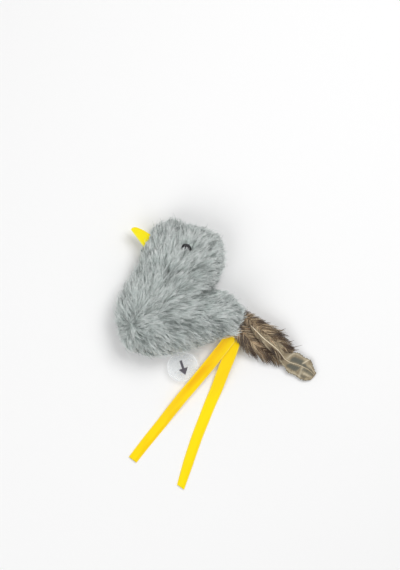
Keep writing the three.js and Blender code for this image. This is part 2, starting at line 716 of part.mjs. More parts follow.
// Each vane's rows are [away as a share of the tail, aside and width as shares of the vane's width].
const feathers = [
  {
    name: "tail_feather_barred",
    colour: colours.featherBuff,
    layer: 0,
    vaneWidth: barredVane,
    rowShares: [
      [0.12, 0.05, 0.11], [0.2, 0, 0.28], [0.3, -0.05, 0.4], [0.4, -0.05, 0.49], [0.5, -0.05, 0.58],
      [0.58, -0.1, 0.61], [0.64, -0.12, 0.72], [0.69, -0.07, 0.89], [0.76, -0.01, 1],
      [0.83, 0.01, 0.97], [0.89, 0.02, 0.84], [0.935, 0, 0.6], [0.968, 0.03, 0.2],
    ],
  },
  {
    name: "tail_feather_upper",
    colour: colours.featherBrown,
    layer: 1,
    vaneWidth: upperVane,
    rowShares: [
      [0.12, 0.2, 0.2], [0.18, 0.23, 0.6], [0.27, 0.19, 0.81], [0.36, 0.19, 0.91], [0.45, 0.22, 1],
      [0.53, 0.21, 0.87], [0.6, 0.21, 0.72], [0.66, 0.2, 0.49], [0.71, 0.22, 0.15],
    ],
  },
  {
    name: "tail_feather_lower",
    colour: colours.featherDark,
    layer: -1,
    vaneWidth: lowerVane,
    rowShares: [
      [0.12, -0.22, 0.14], [0.2, -0.34, 0.62], [0.3, -0.46, 1], [0.38, -0.43, 0.99], [0.46, -0.41, 0.96],
      [0.54, -0.37, 0.81], [0.61, -0.36, 0.57], [0.66, -0.38, 0.28],
    ],
  },
];

feathers.forEach(({ name, colour, layer, vaneWidth, rowShares }) => {
  const aside = layer * quillPitch;
  const points = rowShares.map(([awayShare, asideShare]) => {
    const fall = (1 - awayShare) ** tailFallPower;
    const height = tailTipHeight + (tailHeight - tailTipHeight) * fall + layer * featherStep;
    return tailPoint(awayShare * tailLength, asideShare * vaneWidth, height);
  });
  const widths = rowShares.map(([, , widthShare]) => widthShare * vaneWidth);
  const ridges = widths.map((w) => Math.min(vaneRidge, vaneEdgeShare * w));
  const quill = tube(
    [tailPoint(quillBack, aside, tailHeight), tailPoint(quillFront, aside, tailHeight), points[0], points[1]],
    quillRadius,
  );
  place(toySide, name, join(strip(points, widths, ridges), quill), matt(colour));
});

const bindingBack = -1.4;
const bindingFront = 2.6;
const bindingHalfHeight = 1.5;
const bindingHalfWidth = 2.9;
const bindingSides = 16;
const bindingRing = (away) =>
  Array.from({ length: bindingSides }, (_, k) => {
    const a = (fullTurn * k) / bindingSides;
    return tailPoint(away, bindingHalfWidth * Math.cos(a), tailHeight + bindingHalfHeight * Math.sin(a));
  });
const quillHoles = feathers.map(({ layer }) => {
  const ends = [bindingBack - overrun, bindingFront + overrun];
  return tube(ends.map((away) => tailPoint(away, layer * quillPitch, tailHeight)), quillRadius + seat);
});
const binding = cut(solidOver([bindingRing(bindingBack), bindingRing(bindingFront)]), ...quillHoles);
place(toySide, "tail_binding", binding, matt(colours.thread));

// The room in the seam where the bound quills turn as the tail wags.
const tailRoomBack = 3;
const tailRoomReach = 14;
const tailRoomHalf = 4.6;
const tailRoomSpread = 4;
const tailRoomRise = 2.3;
const tailRoom = slab(
  [
    [-tailRoomBack, -tailRoomHalf], [tailRoomReach, -tailRoomHalf - tailRoomSpread],
    [tailRoomReach, tailRoomHalf + tailRoomSpread], [-tailRoomBack, tailRoomHalf],
  ].map(([u, v]) => {
    const p = tailPoint(u, v, 0);
    return [p.x, p.y];
  }),
  tailHeight - tailRoomRise,
  tailHeight + tailRoomRise,
);

// The seam thread runs over the crown and under the breast, in a groove between the two rims.
const threadRadius = 0.35;
const threadInset = 2.2;
const threadRunShares = { seam_thread_crown: [0.035, 0.37], seam_thread_breast: [0.52, 0.93] };
const threadPath = inset(outline, threadInset);
const threadGrooves = Object.entries(threadRunShares).map(([name, [first, last]]) => {
  const run = threadPath.slice(Math.round(first * outlineSteps), Math.round(last * outlineSteps));
  const points = run.map((p) => new THREE.Vector3(p.x, p.y, seamHeight));
  place(toySide, name, tube(points, threadRadius), matt(colours.thread));
  const [start, end] = [points[0], points[points.length - 1]];
  const grooveStart = start.clone().sub(points[1]).setLength(seat).add(start);
  const grooveEnd = end.clone().sub(points[points.length - 2]).setLength(seat).add(end);
  return tube([grooveStart, ...points.slice(1, -1), grooveEnd], threadRadius + seat);
});

// The soft pieces, opened for what passes through them. The head and the body meet at the neck.
const rooms = [beakRoom, tailRoom, tabPath, ...ribbonRooms, ...eyeRooms];
const upperPlush = cut(plushShell(upperFaceAt, upperLiningAt), ...rooms, ...threadGrooves);
const lowerPlush = cut(plushShell(lowerFaceAt, lowerLiningAt), ...rooms, ...threadGrooves);
const bodyZone = neckZone(-1);
const headZone = neckZone(1);
place(toySide, "body_plush_upper", upperPlush.intersect(bodyZone), matt(colours.plush));
place(toySide, "body_plush_lower", lowerPlush.intersect(bodyZone), matt(colours.plush));
place(toySide, "head_plush_upper", upperPlush.intersect(headZone), matt(colours.plush));
place(toySide, "head_plush_lower", lowerPlush.intersect(headZone), matt(colours.plush));
place(toySide, "fibre_filling", cut(fillingBlank(), pocket, ...rooms), matt(colours.fibre));

export default toySide;
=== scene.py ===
# %% [markdown]
# A plush bird toy for cats, lying on its side: long grey pile, a felt beak, a bead eye half lost in
# the fur, two ribbon legs and a tail of three feathers. The packed CAD model is the frame. It holds
# every real size, and this lesson dresses it. All the fur and the feathers are ordinary meshes, made
# as numpy arrays of thin tapered strands, so that what you see is geometry and not a particle system.

# %% Load the frame
import math

import bpy
import numpy as np
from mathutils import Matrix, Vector


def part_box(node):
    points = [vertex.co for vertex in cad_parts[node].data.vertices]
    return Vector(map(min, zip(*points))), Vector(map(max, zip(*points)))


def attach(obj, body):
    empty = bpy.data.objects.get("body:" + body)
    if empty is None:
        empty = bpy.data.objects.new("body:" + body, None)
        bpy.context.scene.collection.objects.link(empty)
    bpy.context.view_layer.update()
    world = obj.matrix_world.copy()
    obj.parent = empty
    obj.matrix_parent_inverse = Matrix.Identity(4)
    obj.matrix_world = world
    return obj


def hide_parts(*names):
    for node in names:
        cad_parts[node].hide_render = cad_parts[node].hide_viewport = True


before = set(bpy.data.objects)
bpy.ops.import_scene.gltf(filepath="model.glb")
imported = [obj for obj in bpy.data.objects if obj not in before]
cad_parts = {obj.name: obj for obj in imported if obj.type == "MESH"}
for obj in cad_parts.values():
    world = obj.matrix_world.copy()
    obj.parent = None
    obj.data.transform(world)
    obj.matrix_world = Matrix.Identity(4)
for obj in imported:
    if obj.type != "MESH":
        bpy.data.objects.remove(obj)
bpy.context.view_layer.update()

MM = 0.001
scene = bpy.context.scene
scene.view_settings.view_transform = "Standard"

# %% [markdown]
# Places on the bird's side were measured on the photograph, in pixels. One pixel is the body's length
# over the pixels it spans, and the floor is z = 0, so a pixel becomes a place in metres by a shift and
# a scale. The camera looks straight down from far away, as a lens does in a product photograph.

# %% Pixels to metres, and the camera
BODY_LENGTH = 77 * MM
BODY_LENGTH_PIXELS = 128.5
PIXEL = BODY_LENGTH / BODY_LENGTH_PIXELS
ORIGIN_PIXEL = np.array([178.0, 305.0])
FRAME_PIXELS = np.array([400.0, 570.0])
CAMERA_HEIGHT = 1.4
FOCUS_HEIGHT = 12 * MM
SENSOR_WIDTH = 36.0


def on_side(pixels):
    """Places in metres of pixels of the photograph: (column - origin, origin - row) times a pixel."""
    offset = (np.asarray(pixels, float) - ORIGIN_PIXEL) * PIXEL
    return offset * [1, -1]


camera_data = bpy.data.cameras.new("camera")
camera_data.sensor_width = SENSOR_WIDTH
camera_data.lens = SENSOR_WIDTH * (CAMERA_HEIGHT - FOCUS_HEIGHT) / (FRAME_PIXELS.max() * PIXEL)
camera = bpy.data.objects.new("camera", camera_data)
camera.location = (*on_side(FRAME_PIXELS / 2), CAMERA_HEIGHT)
scene.collection.objects.link(camera)
scene.camera = camera
print("one pixel is", round(PIXEL / MM, 4), "mm, lens", round(camera_data.lens), "mm")

# %% [markdown]
# A material is a small network of nodes. Written out, each node takes several lines, so one function
# adds any node: it takes the node's kind, its settings and what goes into its inputs. A small class
# wraps an output and gives it the operators of Python, so that 1 - mask adds a Subtract node.

# %% Nodes, and outputs as values
def fill_inputs(tree, node, values):
    """Links each Value to the input of that name or number, and writes anything else into it."""
    for key, value in values.items():
        if isinstance(value, Value):
            tree.links.new(value.socket, node.inputs[key])
        else:
            node.inputs[key].default_value = value


def fill_ramp(ramp, stops):
    """Gives a colour ramp its stops: a place from 0 to 1 and a colour each."""
    while len(ramp.elements) < len(stops):
        ramp.elements.new(1.0)
    for element, (place, colour) in zip(ramp.elements, stops):
        element.position = place
        element.color = (*colour, 1)


def add_node(tree, kind, settings=None, values=None, output=0):
    """Adds a node of that kind, makes its settings, fills its inputs and returns one output."""
    node = tree.nodes.new("ShaderNode" + kind)
    for key, value in (settings or {}).items():
        if key == "stops":
            fill_ramp(node.color_ramp, value)
        else:
            setattr(node, key, value)
    fill_inputs(tree, node, values or {})
    return Value(tree, node.outputs[output])


class Value:
    """A number that a node gives. Arithmetic on it adds Math nodes."""

    def __init__(self, tree, socket):
        self.tree, self.socket = tree, socket

    def maths(self, operation, *others, first=None):
        values = [self, *others] if first is None else [first, self]
        return add_node(self.tree, "Math", {"operation": operation}, dict(enumerate(values)))

    def __add__(self, other):
        return self.maths("ADD", other)

    def __sub__(self, other):
        return self.maths("SUBTRACT", other)

    def __rsub__(self, other):
        return self.maths("SUBTRACT", first=other)

    def __mul__(self, other):
        return self.maths("MULTIPLY", other)

    __radd__ = __add__
    __rmul__ = __mul__

    def clamped(self):
        return self.maths("MAXIMUM", 0.0).maths("MINIMUM", 1.0)

    def ridge(self, low, high):
        """0 below low, 1 above high, and a smooth step between them."""
        return add_node(self.tree, "MapRange", {"interpolation_type": "SMOOTHSTEP"},
                        {"Value": self, "From Min": low, "From Max": high}, "Result")


print("any node comes from", add_node.__name__)

# %% [markdown]
# Every finish here is a Principled shader with something that varies over the surface. A second class
# holds such a material, with a short method for each kind of node that comes often. Patterns read the
# object's own coordinates, its UV map or an attribute of its points, so they stay where they are when
# the piece moves.

# %% Finishes
class Finish:
    """A material with a Principled shader, and short ways to add nodes to it."""

    def __init__(self, name, **sockets):
        self.material = bpy.data.materials.new(name)
        self.material.use_nodes = True
        self.tree = self.material.node_tree
        self.wear(**sockets)

    def wear(self, **sockets):
        """Sets or links the shader's inputs: wear(Base_Color=value) and so on."""
        named = {key.replace("_", " "): value for key, value in sockets.items()}
        fill_inputs(self.tree, self.tree.nodes["Principled BSDF"], named)
        return self

    def node(self, kind, settings=None, values=None, output=0):
        return add_node(self.tree, kind, settings, values, output)

    def attribute(self, name):
        return self.node("Attribute", {"attribute_name": name}, output="Fac")

    def place(self):
        return self.node("TexCoord", output="Object")

    def part(self, vector, axis):
        return self.node("SeparateXYZ", values={"Vector": vector}, output=axis)

    def stretched(self, vector, scale):
        """The vector with each axis scaled by itself, which draws a pattern out."""
        return self.node("Mapping", values={"Vector": vector, "Scale": scale})

    def noise(self, scale, detail=2.0, vector=None, dimensions="3D"):
        return self.node(
            "TexNoise", {"noise_dimensions": dimensions},
            {"Vector": vector or self.place(), "Scale": scale, "Detail": detail}, "Fac",
        )

    def mix(self, share, low, high):
        """A colour from low, where share is 0, to high, where it is 1."""
        low, high = [(*c, 1) if isinstance(c, tuple) else c for c in (low, high)]
        return self.node("Mix", {"data_type": "RGBA"}, {"Factor": share, 6: low, 7: high}, 2)

    def bump(self, height, distance, strength=0.5):
        values = {"Height": height, "Distance": distance, "Strength": strength}
        return self.node("Bump", values=values, output="Normal")


print("a finish can add", [key for key in vars(Finish) if not key.startswith("_")])

# %% [markdown]
# Soft light: one large lamp high on the right side and a weaker one on the left, with a pale world
# between them, so that each tuft of fur has a light and a dark side but no hard shadow. The world is
# weak as a lamp, but what looks straight at it, or sees it in a gloss or through a film, gets white:
# Light Path tells one kind of ray from another.

# %% Lamps and world
WORLD_STRENGTH = 0.4
SEEN_STRENGTH = 1.0
LAMPS = {
    "key_lamp": ((0.3, 0.34, 0.85), 0.45, 4.6),
    "fill_lamp": ((-0.35, -0.4, 0.75), 0.6, 2.6),
}
for name, (place, size, watts) in LAMPS.items():
    lamp = bpy.data.lights.new(name, "AREA")
    lamp.shape = "SQUARE"
    lamp.size = size
    lamp.energy = watts
    lamp_object = bpy.data.objects.new(name, lamp)
    lamp_object.location = place
    lamp_object.rotation_euler = (-Vector(place)).to_track_quat("-Z", "Y").to_euler()
    scene.collection.objects.link(lamp_object)

world = bpy.data.worlds.new("studio")
world.use_nodes = True
sky = world.node_tree
seen = add_node(sky, "LightPath", output="Is Camera Ray")
for kind in ("Is Glossy Ray", "Is Transmission Ray"):
    seen = seen.maths("MAXIMUM", add_node(sky, "LightPath", output=kind))
strength = add_node(
    sky, "MapRange", values={"Value": seen, "To Min": WORLD_STRENGTH, "To Max": SEEN_STRENGTH},
    output="Result",
)
fill_inputs(sky, sky.nodes["Background"], {"Strength": strength, "Color": (1, 1, 1, 1)})
scene.world = world
print("lamps:", list(LAMPS))

# %% [markdown]
# Every new piece starts as arrays. A loft is a stack of closed rings, so its corners are a grid, and
# the faces between two rings are index arithmetic. Each corner also keeps its place on the grid, in a
# UV map, so that a weave or a fade can follow the surface.

# %% Rings to faces
def loft_faces(rows, columns):
    """Faces of closed rings, with a fan to an added middle point at each end, and corner places."""
    row, column = np.meshgrid(np.arange(rows - 1), np.arange(columns), indexing="ij")
    ahead = (column + 1) % columns
    quads = np.stack([
        row * columns + column, row * columns + ahead,
        (row + 1) * columns + ahead, (row + 1) * columns + column,
    ], -1).reshape(-1, 4)
    across = np.stack([column, column + 1, column + 1, column], -1) / columns
    along = np.stack([row, row, row + 1, row + 1], -1) / (rows - 1)
    places = [np.stack([across, along], -1).reshape(-1, 2)]
    k = np.arange(columns)
    turned = (k + 1) % columns
    top_row, first = (rows - 1) * columns, rows * columns
    foot = np.stack([np.full(columns, first), turned, k], -1)
    top = np.stack([np.full(columns, first + 1), top_row + k, top_row + turned], -1)
    for steps, end in (([0.5, 1, 0], 0.0), ([0.5, 0, 1], 1.0)):
        spread = (k[:, None] + steps) / columns
        places.append(np.stack([spread, np.full(spread.shape, end)], -1).reshape(-1, 2))
    return [quads, foot, top], np.concatenate(places)


def loft(rings, ends=None):
    """Points, faces and corner places of closed rings, shape (rows, columns, 3)."""
    rings = np.asarray(rings, float)
    rows, columns = rings.shape[:2]
    ends = rings[[0, -1]].mean(1) if ends is None else ends
    faces, places = loft_faces(rows, columns)
    return np.concatenate([rings.reshape(-1, 3), ends]), faces, places


print("a loft of 3 rings of 8 has", sum(len(f) for f in loft_faces(3, 8)[0]), "faces")

# %% [markdown]
# foreach_set copies whole arrays into a mesh, which is far quicker than adding faces one by one. A
# closed mesh that comes out inside out has a negative volume, so its faces are simply turned over. Each
# new piece rides on a body of the frame and hides the CAD nodes it stands for.

# %% Arrays to meshes, and meshes to pieces
def volume_of(points, faces):
    """A sixth of the sum of a . (b x c) over the triangles."""
    total = 0.0
    for ring in faces:
        a = points[ring[:, 0]]
        for k in range(1, ring.shape[1] - 1):
            b, c = points[ring[:, k]], points[ring[:, k + 1]]
            total += np.einsum("ij,ij->", a, np.cross(b, c))
    return total / 6


def turned_over(faces, places):
    """Each face with its corners in the other order, and the places of the corners with them."""
    split = np.cumsum([f.size for f in faces])[:-1]
    turned = [part.reshape(-1, f.shape[1], 2)[:, ::-1].reshape(-1, 2)
              for part, f in zip(np.split(places, split), faces)]
    return [f[:, ::-1] for f in faces], np.concatenate(turned)


def mesh_from(name, points, faces, places, **values):
    """A mesh from arrays, with a UV map of the corners' places and a point attribute per value."""
    if volume_of(points, faces) < 0:
        faces, places = turned_over(faces, places)
    mesh = bpy.data.meshes.new(name)
    sizes = np.concatenate([np.full(len(f), f.shape[1]) for f in faces])
    mesh.vertices.add(len(points))
    mesh.vertices.foreach_set("co", np.asarray(points, np.float32).ravel())
    mesh.loops.add(int(sizes.sum()))
    mesh.loops.foreach_set("vertex_index", np.concatenate([f.ravel() for f in faces]).astype(np.int32))
    mesh.polygons.add(len(sizes))
    mesh.polygons.foreach_set("loop_start", (np.cumsum(sizes) - sizes).astype(np.int32))
    mesh.update(calc_edges=True)
    mesh.polygons.foreach_set("use_smooth", np.ones(len(sizes), bool))
    uv = mesh.uv_layers.new(name="OFBake")
    uv.uv.foreach_set("vector", np.asarray(places, np.float32).ravel())
    for key, value in values.items():
        layer = mesh.attributes.new(key, "FLOAT", "POINT")
        layer.data.foreach_set("value", np.asarray(value, np.float32).ravel())
    return mesh


def new_piece(mesh, finish, body="bird", replaces=()):
    """Puts a mesh into the scene as a piece of the mesh's name that rides on a body."""
    mesh.materials.append(finish.material)
    piece = bpy.data.objects.new(mesh.name, mesh)
    scene.collection.objects.link(piece)
    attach(piece, body)
    if replaces:
        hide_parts(*replaces)
    print(piece.name, "rides on", body, "with", len(mesh.polygons), "faces")
    return piece


def grid_mesh(name, rings, ends=None, **values):
    """A loft of rings as a mesh. A value's array has one number per point of the rings, and each end's
    middle point gets the mean of its ring."""
    points, faces, places = loft(rings, ends)
    full = {key: np.append(v.ravel(), [v[0].mean(), v[-1].mean()]) for key, v in values.items()}
    return mesh_from(name, points, faces, places, **full)


square = np.array([[0.0, 0.0], [1, 0], [1, 1], [0, 1]])
cube = [np.column_stack([square, np.full(4, z)]) for z in (0.0, 1.0)]
print("a loft of two unit squares has a volume of", abs(volume_of(*loft(cube)[:2])))

# %% [markdown]
# A few small helpers come back all through the lesson: the directions at a point of a line, a smooth
# line through a few given places, and the smooth step that fades one thing into another.

# %% Lines and fades
STEPS_BETWEEN = 12


def unit(vectors):
    """Each vector over its length."""
    return vectors / np.maximum(np.linalg.norm(vectors, axis=-1, keepdims=True), 1e-12)


def sides_of(lines, ups=(0.0, 0.0, 1.0)):
    """Two directions at each point of a line: across it, and up from both."""
    along = unit(np.gradient(lines, axis=-2))
    across = unit(np.cross(along, ups))
    return across, np.cross(across, along)


def run_along(line):
    """How long the line is up to each of its points."""
    return np.append(0, np.cumsum(np.linalg.norm(np.diff(line, axis=0), axis=1)))


def evenly(line, count, closed=False):
    """The line's points moved along it so that they are spaced evenly by its length."""
    run = run_along(line)
    marks = np.linspace(0, run[-1], count, endpoint=not closed)
    return np.stack([np.interp(marks, run, x) for x in line.T], -1)


def smooth_path(points, count, closed=False):
    """A cubic between each two points b and c, with a before them and d after: b + (c - a)t/2
    + (2a - 5b + 4c - d)t^2/2 + (3b - a - 3c + d)t^3/2, then spaced evenly by its length."""
    p = np.asarray(points, float)
    if closed:
        p = np.concatenate([p[-1:], p, p[:2]])
    else:
        p = np.concatenate([2 * p[:1] - p[1:2], p, 2 * p[-1:] - p[-2:-1]])
    t = np.linspace(0, 1, STEPS_BETWEEN, endpoint=False)[:, None]
    a, b, c, d = p[:-3, None], p[1:-2, None], p[2:-1, None], p[3:, None]
    bends = b + (c - a) * t / 2 + (2 * a - 5 * b + 4 * c - d) * t**2 / 2
    line = (bends + (3 * b - a - 3 * c + d) * t**3 / 2).reshape(-1, p.shape[1])
    return evenly(np.concatenate([line, p[-2:-1]]), count, closed)


def smooth_step(x, low, high):
    """3t^2 - 2t^3 of the share t of the way from low to high."""
    t = np.clip((x - low) / (high - low), 0, 1)
    return t * t * (3 - 2 * t)


print("half way from 0 to 1 a smooth step gives", smooth_step(0.5, 0, 1))

# %% [markdown]
# The legs are satin ribbon. In satin long threads float on the face, so it shines in streaks along the
# ribbon. Where it turns from the light it goes deep orange, which here is painted shade in the colour,
# on the front leg's upper part and one side, as its attributes say. Threads are far too fine to model.
# They follow the ribbon's UV map instead: fine lines along it, a soft cloud, and the picks of the weave
# across it, which show most at the woven edge. That edge is painted a little paler, partly its own
# weave and partly a painted highlight.

# %% Satin
RIBBON_YELLOW = (1.0, 0.71, 0.0)
RIBBON_DEEP = (0.9, 0.45, 0.0)
RIBBON_LEMON = (0.98, 0.80, 0.0)
RIBBON_BRIGHT = (1.0, 0.72, 0.1)
THREAD_SCALES = (160.0, 9.0, 1.0)
CLOUD_SCALES = (7.0, 5.0, 1.0)
PICK_TURNS = 1900.0
WEAVE_DEPTH = 0.12 * MM

satin = Finish("satin_ribbon", Specular_IOR_Level=0.16)
uv = satin.node("UVMap", {"uv_map": "OFBake"})
away = satin.part(uv, "Y")
side = satin.attribute("side")
front = satin.attribute("front")
edge = side.maths("ABSOLUTE").ridge(0.8, 0.93)
threads = satin.noise(1.0, 2.0, satin.stretched(uv, THREAD_SCALES), "2D")
cloud = satin.noise(1.0, 1.0, satin.stretched(uv, CLOUD_SCALES), "2D")
picks = (away * PICK_TURNS).maths("SINE") * 0.5 + 0.5
# Painted shade: deep orange on the front leg's upper part and on one side of it.
painted_shade = (1 - away.ridge(0.35, 0.8)) * side.ridge(-0.6, 0.3) * (1 - side.ridge(0.55, 0.8) * 0.6) * front
drawn = cloud.ridge(0.42, 0.7) * (0.12 + front * 0.25)
lemon = (1 - front) * away.ridge(0.25, 0.5) * 0.75 + front * away.ridge(0.55, 0.8) * 0.3
tint = satin.mix(lemon, RIBBON_YELLOW, RIBBON_LEMON)
tint = satin.mix((painted_shade * 0.6 + drawn).clamped() * 0.85, tint, RIBBON_DEEP)
tint = satin.mix((threads - 0.5).clamped() * 0.6, tint, RIBBON_DEEP)
# The woven edge is painted a little paler: partly its own weave, partly a painted highlight.
tint = satin.mix(edge * 0.7, tint, RIBBON_BRIGHT)
satin.wear(
    Base_Color=tint,
    Roughness=0.34 + threads * 0.2 + edge * 0.15,
    Normal=satin.bump(threads * 0.7 + picks * 0.2 * (0.3 + edge), WEAVE_DEPTH, 0.45),
)
print("satin has", len(satin.tree.nodes), "nodes")

# %% [markdown]
# Each leg is sewn into the seam and limp. It could be a flat curve, but a ribbon has an edge that shows:
# a thin woven bead, the selvedge. So a flat section with beads is carried along the route, level across.
# It cups a little towards the free end, which also makes it look narrower there. The routes are in
# millimetres, from the seam down to the floor.

# %% The two ribbon legs
RIBBON_WIDTH = 6.6 * MM
RIBBON_THICKNESS = 0.28 * MM
SELVEDGE = 0.1 * MM
BEAD_RISES, BEAD_FALLS = (0.82, 0.93), (0.97, 1.0)
EDGE_POWER = 24
COLUMN_POWER = 0.7
CUP_HEIGHT = 0.5 * MM
RIBBON_ROWS = 150
RIBBON_COLUMNS = 48
ROUTE_POINTS = 400
WIDTH_SHARES = (0.0, 0.3, 0.85, 1.0)
LEGS = {
    "front_leg_ribbon": (102 * MM, 0.0, (1.1, 1.08, 0.96, 0.9), [
        [35.2, -15.1, 13.1], [33.5, -17, 13.1], [31.8, -19.2, 12.8], [29.3, -22.5, 11.6],
        [26.6, -26.2, 9.9], [23.6, -30, 8.3], [20.5, -33.9, 7.2], [17.3, -37.9, 6.5], [14, -41.9, 6.0],
        [10.6, -46, 5.5], [6.9, -50.4, 5.1], [3, -55, 4.5], [-1, -60, 3.5], [-5, -65.1, 2.1],
        [-9, -70.3, 0.9], [-13.6, -76, 0.5], [-18.4, -81.9, 0.4], [-22.8, -87.5, 0.4],
        [-27.5, -93.6, 0.4]]),
    "rear_leg_ribbon": (103 * MM, 1.6 * MM, (1.17, 1.12, 0.95, 0.76), [
        [36.1, -15.3, 12.1], [35.3, -17.5, 12.1], [34.4, -20, 11.7], [33.1, -24, 10.2],
        [31.7, -28.4, 8.2], [30, -33, 6.4], [28, -38, 5], [26, -43.2, 3.7], [24, -48.6, 2.4],
        [22.2, -53, 1.3], [20, -58, 0.6], [17.8, -63.4, 0.4], [15.6, -69, 0.4], [13.2, -75, 0.4],
        [10.8, -81.4, 0.4], [8.6, -87.8, 0.4], [6.4, -94.4, 0.4], [3.8, -102.6, 0.4],
        [1.2, -110.9, 0.4]]),
}


def ribbon_rings(route, widths, slant):
    """Rows of a flat section. v runs from 1 to -1 over the face and back under it, and a point is
    route(s) + v * width / 2 * across + (thickness / 2 + bead at the edge + cup * (1 - v^2)) * up. The end
    is cut at a slant: s stops sooner by slant * (1 + v) / 2."""
    line = smooth_path(np.array(route) * MM, ROUTE_POINTS)
    across, up = sides_of(line)
    turn = np.linspace(0, 2 * np.pi, RIBBON_COLUMNS, endpoint=False)
    v = np.sign(np.cos(turn)) * np.abs(np.cos(turn)) ** COLUMN_POWER
    face = np.sign(np.sin(turn) + 1e-9)
    share = np.linspace(0, 1, RIBBON_ROWS)[:, None]
    reach = 1 - slant / run_along(line)[-1] * (1 + v) / 2
    at = share * reach * (len(line) - 1)

    def picked(values):
        return np.stack([np.interp(at, np.arange(len(line)), x) for x in values.T], -1)

    bead = SELVEDGE * smooth_step(np.abs(v), *BEAD_RISES) * (1 - smooth_step(np.abs(v), *BEAD_FALLS))
    half = RIBBON_THICKNESS / 2 * np.sqrt(np.clip(1 - np.abs(v) ** EDGE_POWER, 0.05, 1)) + bead
    lift = face * half + CUP_HEIGHT * smooth_step(share, 0.3, 1) * (1 - v**2)
    width = np.interp(share, WIDTH_SHARES, widths)
    rings = picked(line) + picked(across) * (v * width * RIBBON_WIDTH / 2)[..., None]
    return rings + picked(up) * lift[..., None], np.broadcast_to(v, lift.shape)


for name, (length, slant, widths, route) in LEGS.items():
    rings, v = ribbon_rings(route, widths, slant)
    is_front = np.full(v.shape, float(name.startswith("front")))
    mesh = grid_mesh(name.replace("ribbon", "satin"), rings, side=v, front=is_front)
    ribbon = new_piece(mesh, satin, replaces=[name])

# %% [markdown]
# The body is a stuffed shape with a sewn edge. Its outline was measured on the photograph, and from the
# edge it swells like a pillow: sqrt(1 - (1 - u)^2), where u is the distance to the edge over a run. At
# the neck a fold cuts in. With this the fabric's height is known over any place.

# %% The outline
CENTRE = on_side([172, 300])
OUTLINE_POINTS = 200
PLACES_AT_ONCE = 8000
OUTLINE_PIXELS = [
    [149, 233], [152, 227.5], [159.7, 221.4], [167.3, 218], [176.5, 217.6], [185.7, 221.4],
    [198, 225.3], [207.1, 229.8], [217.1, 234.4], [221.7, 241.3], [224, 250.5], [224, 261.2],
    [222.5, 270.4], [218.6, 279.6], [214, 288], [222.5, 290.3], [231.6, 295.7], [239.3, 302.6],
    [243.9, 309.4], [244.6, 316.3], [242.4, 325.5], [238.5, 333.2], [227, 336.2], [216.3, 340],
    [204, 345.4], [191.8, 349.2], [176.5, 352.3], [161.2, 354.9], [145.9, 354.6], [133.7, 349.2],
    [123, 346.2], [119.1, 336.2], [116.1, 322.4], [116.8, 310.2], [119.9, 299.5], [124.5, 287.2],
    [130.6, 278], [136.7, 267.3], [139.8, 255.1], [142.1, 247.5], [145.9, 241.3],
]
outline = smooth_path(on_side(OUTLINE_PIXELS), OUTLINE_POINTS, closed=True)


def inset(loop, margin):
    """The loop drawn in towards the centre: centre + arm * (1 - margin / length of the arm)."""
    arm = loop - CENTRE
    return CENTRE + arm * (1 - margin / np.linalg.norm(arm, axis=1, keepdims=True))


def edge_distance(places, loop):
    """The distance from each place to the nearest side of the loop. On a side from p to q the nearest
    point is p + t(q - p), where t is the share (place - p) . (q - p) / |q - p|^2 kept from 0 to 1."""
    flat = places.reshape(-1, 2)
    ahead = np.roll(loop, -1, 0) - loop
    best = []
    for some in np.array_split(flat, max(len(flat) // PLACES_AT_ONCE, 1)):
        arm = some[:, None] - loop
        t = np.clip((arm * ahead).sum(-1) / (ahead**2).sum(-1), 0, 1)
        best.append(np.linalg.norm(arm - t[..., None] * ahead, axis=-1).min(1))
    return np.concatenate(best).reshape(places.shape[:-1])


print("the outline spans", np.round(np.ptp(outline, axis=0) / MM, 1), "mm")

# %% [markdown]
# Above the seam the toy is plump. Below it is flat where it lies. Heights are given at a depth under the
# pile's outer face, because the fabric's two faces lie at different depths.

# %% The stuffed heights
CROWN = on_side([176.5, 217.6])
SEAM_HEIGHT = 12 * MM
SEAM_GAP = 0.3 * MM
UPPER_BULGE = 22.5 * MM
LOWER_BULGE = 12.35 * MM
UPPER_RUN = 30 * MM
LOWER_RUN = 22 * MM
HEAD_DROP = 0.1
CREASE_PIXELS = [[219, 288], [206, 292.5], [193, 297], [181, 300.5]]
CREASE_POINTS = 24
CREASE_DEPTH = 1.3 * MM
CREASE_WIDTH = 1.9 * MM
CREASE_FADE = 0.35


def crease(places):
    """1 along the fold at the neck, falling off as a bell and fading towards the breast."""
    line = smooth_path(on_side(CREASE_PIXELS), CREASE_POINTS)
    gap = np.linalg.norm(places[..., None, :] - line, axis=-1)
    fade = np.linspace(1, CREASE_FADE, CREASE_POINTS)
    return (np.exp(-((gap / CREASE_WIDTH) ** 2)) * fade).max(-1)


def swell(places, margin, run):
    """sqrt(1 - (1 - u)^2), where u is the distance to the inset outline over the run, at most 1."""
    u = np.minimum(edge_distance(places, inset(outline, margin)) / run, 1)
    return np.sqrt(1 - (1 - u) ** 2)


def height(places, sign, depth, margin):
    """The fabric's height. Above the seam it is seam + bulge * swell, with a bulge that drops a little
    towards the crown, less the crease. Below it is seam - bulge * swell, but not under the floor."""
    if sign < 0:
        low = SEAM_HEIGHT - SEAM_GAP / 2 - (LOWER_BULGE - depth) * swell(places, margin, LOWER_RUN)
        return np.maximum(low, depth)
    to_crown = (places[..., 1] - CENTRE[1]) / (CROWN[1] - CENTRE[1])
    bulge = (UPPER_BULGE - depth) * (1 - HEAD_DROP * smooth_step(to_crown, 0.35, 1))
    top = SEAM_HEIGHT + SEAM_GAP / 2 + bulge * swell(places, margin, UPPER_RUN)
    return top - CREASE_DEPTH * crease(places)


print("over the centre the upper face is", round(height(CENTRE[None], 1, 0, 0)[0] / MM, 1), "mm high")

# %% [markdown]
# The fabric is knitted backing, and the pile hides it wholly. A cloth simulation would give it creases
# that nobody sees, so it is made as four plain shells, one for each CAD form: body and head, above and
# below the seam. Each is a stack of rings from the edge to its middle, outside and then inside. The fur
# grows from the outer faces, so these grids are kept.

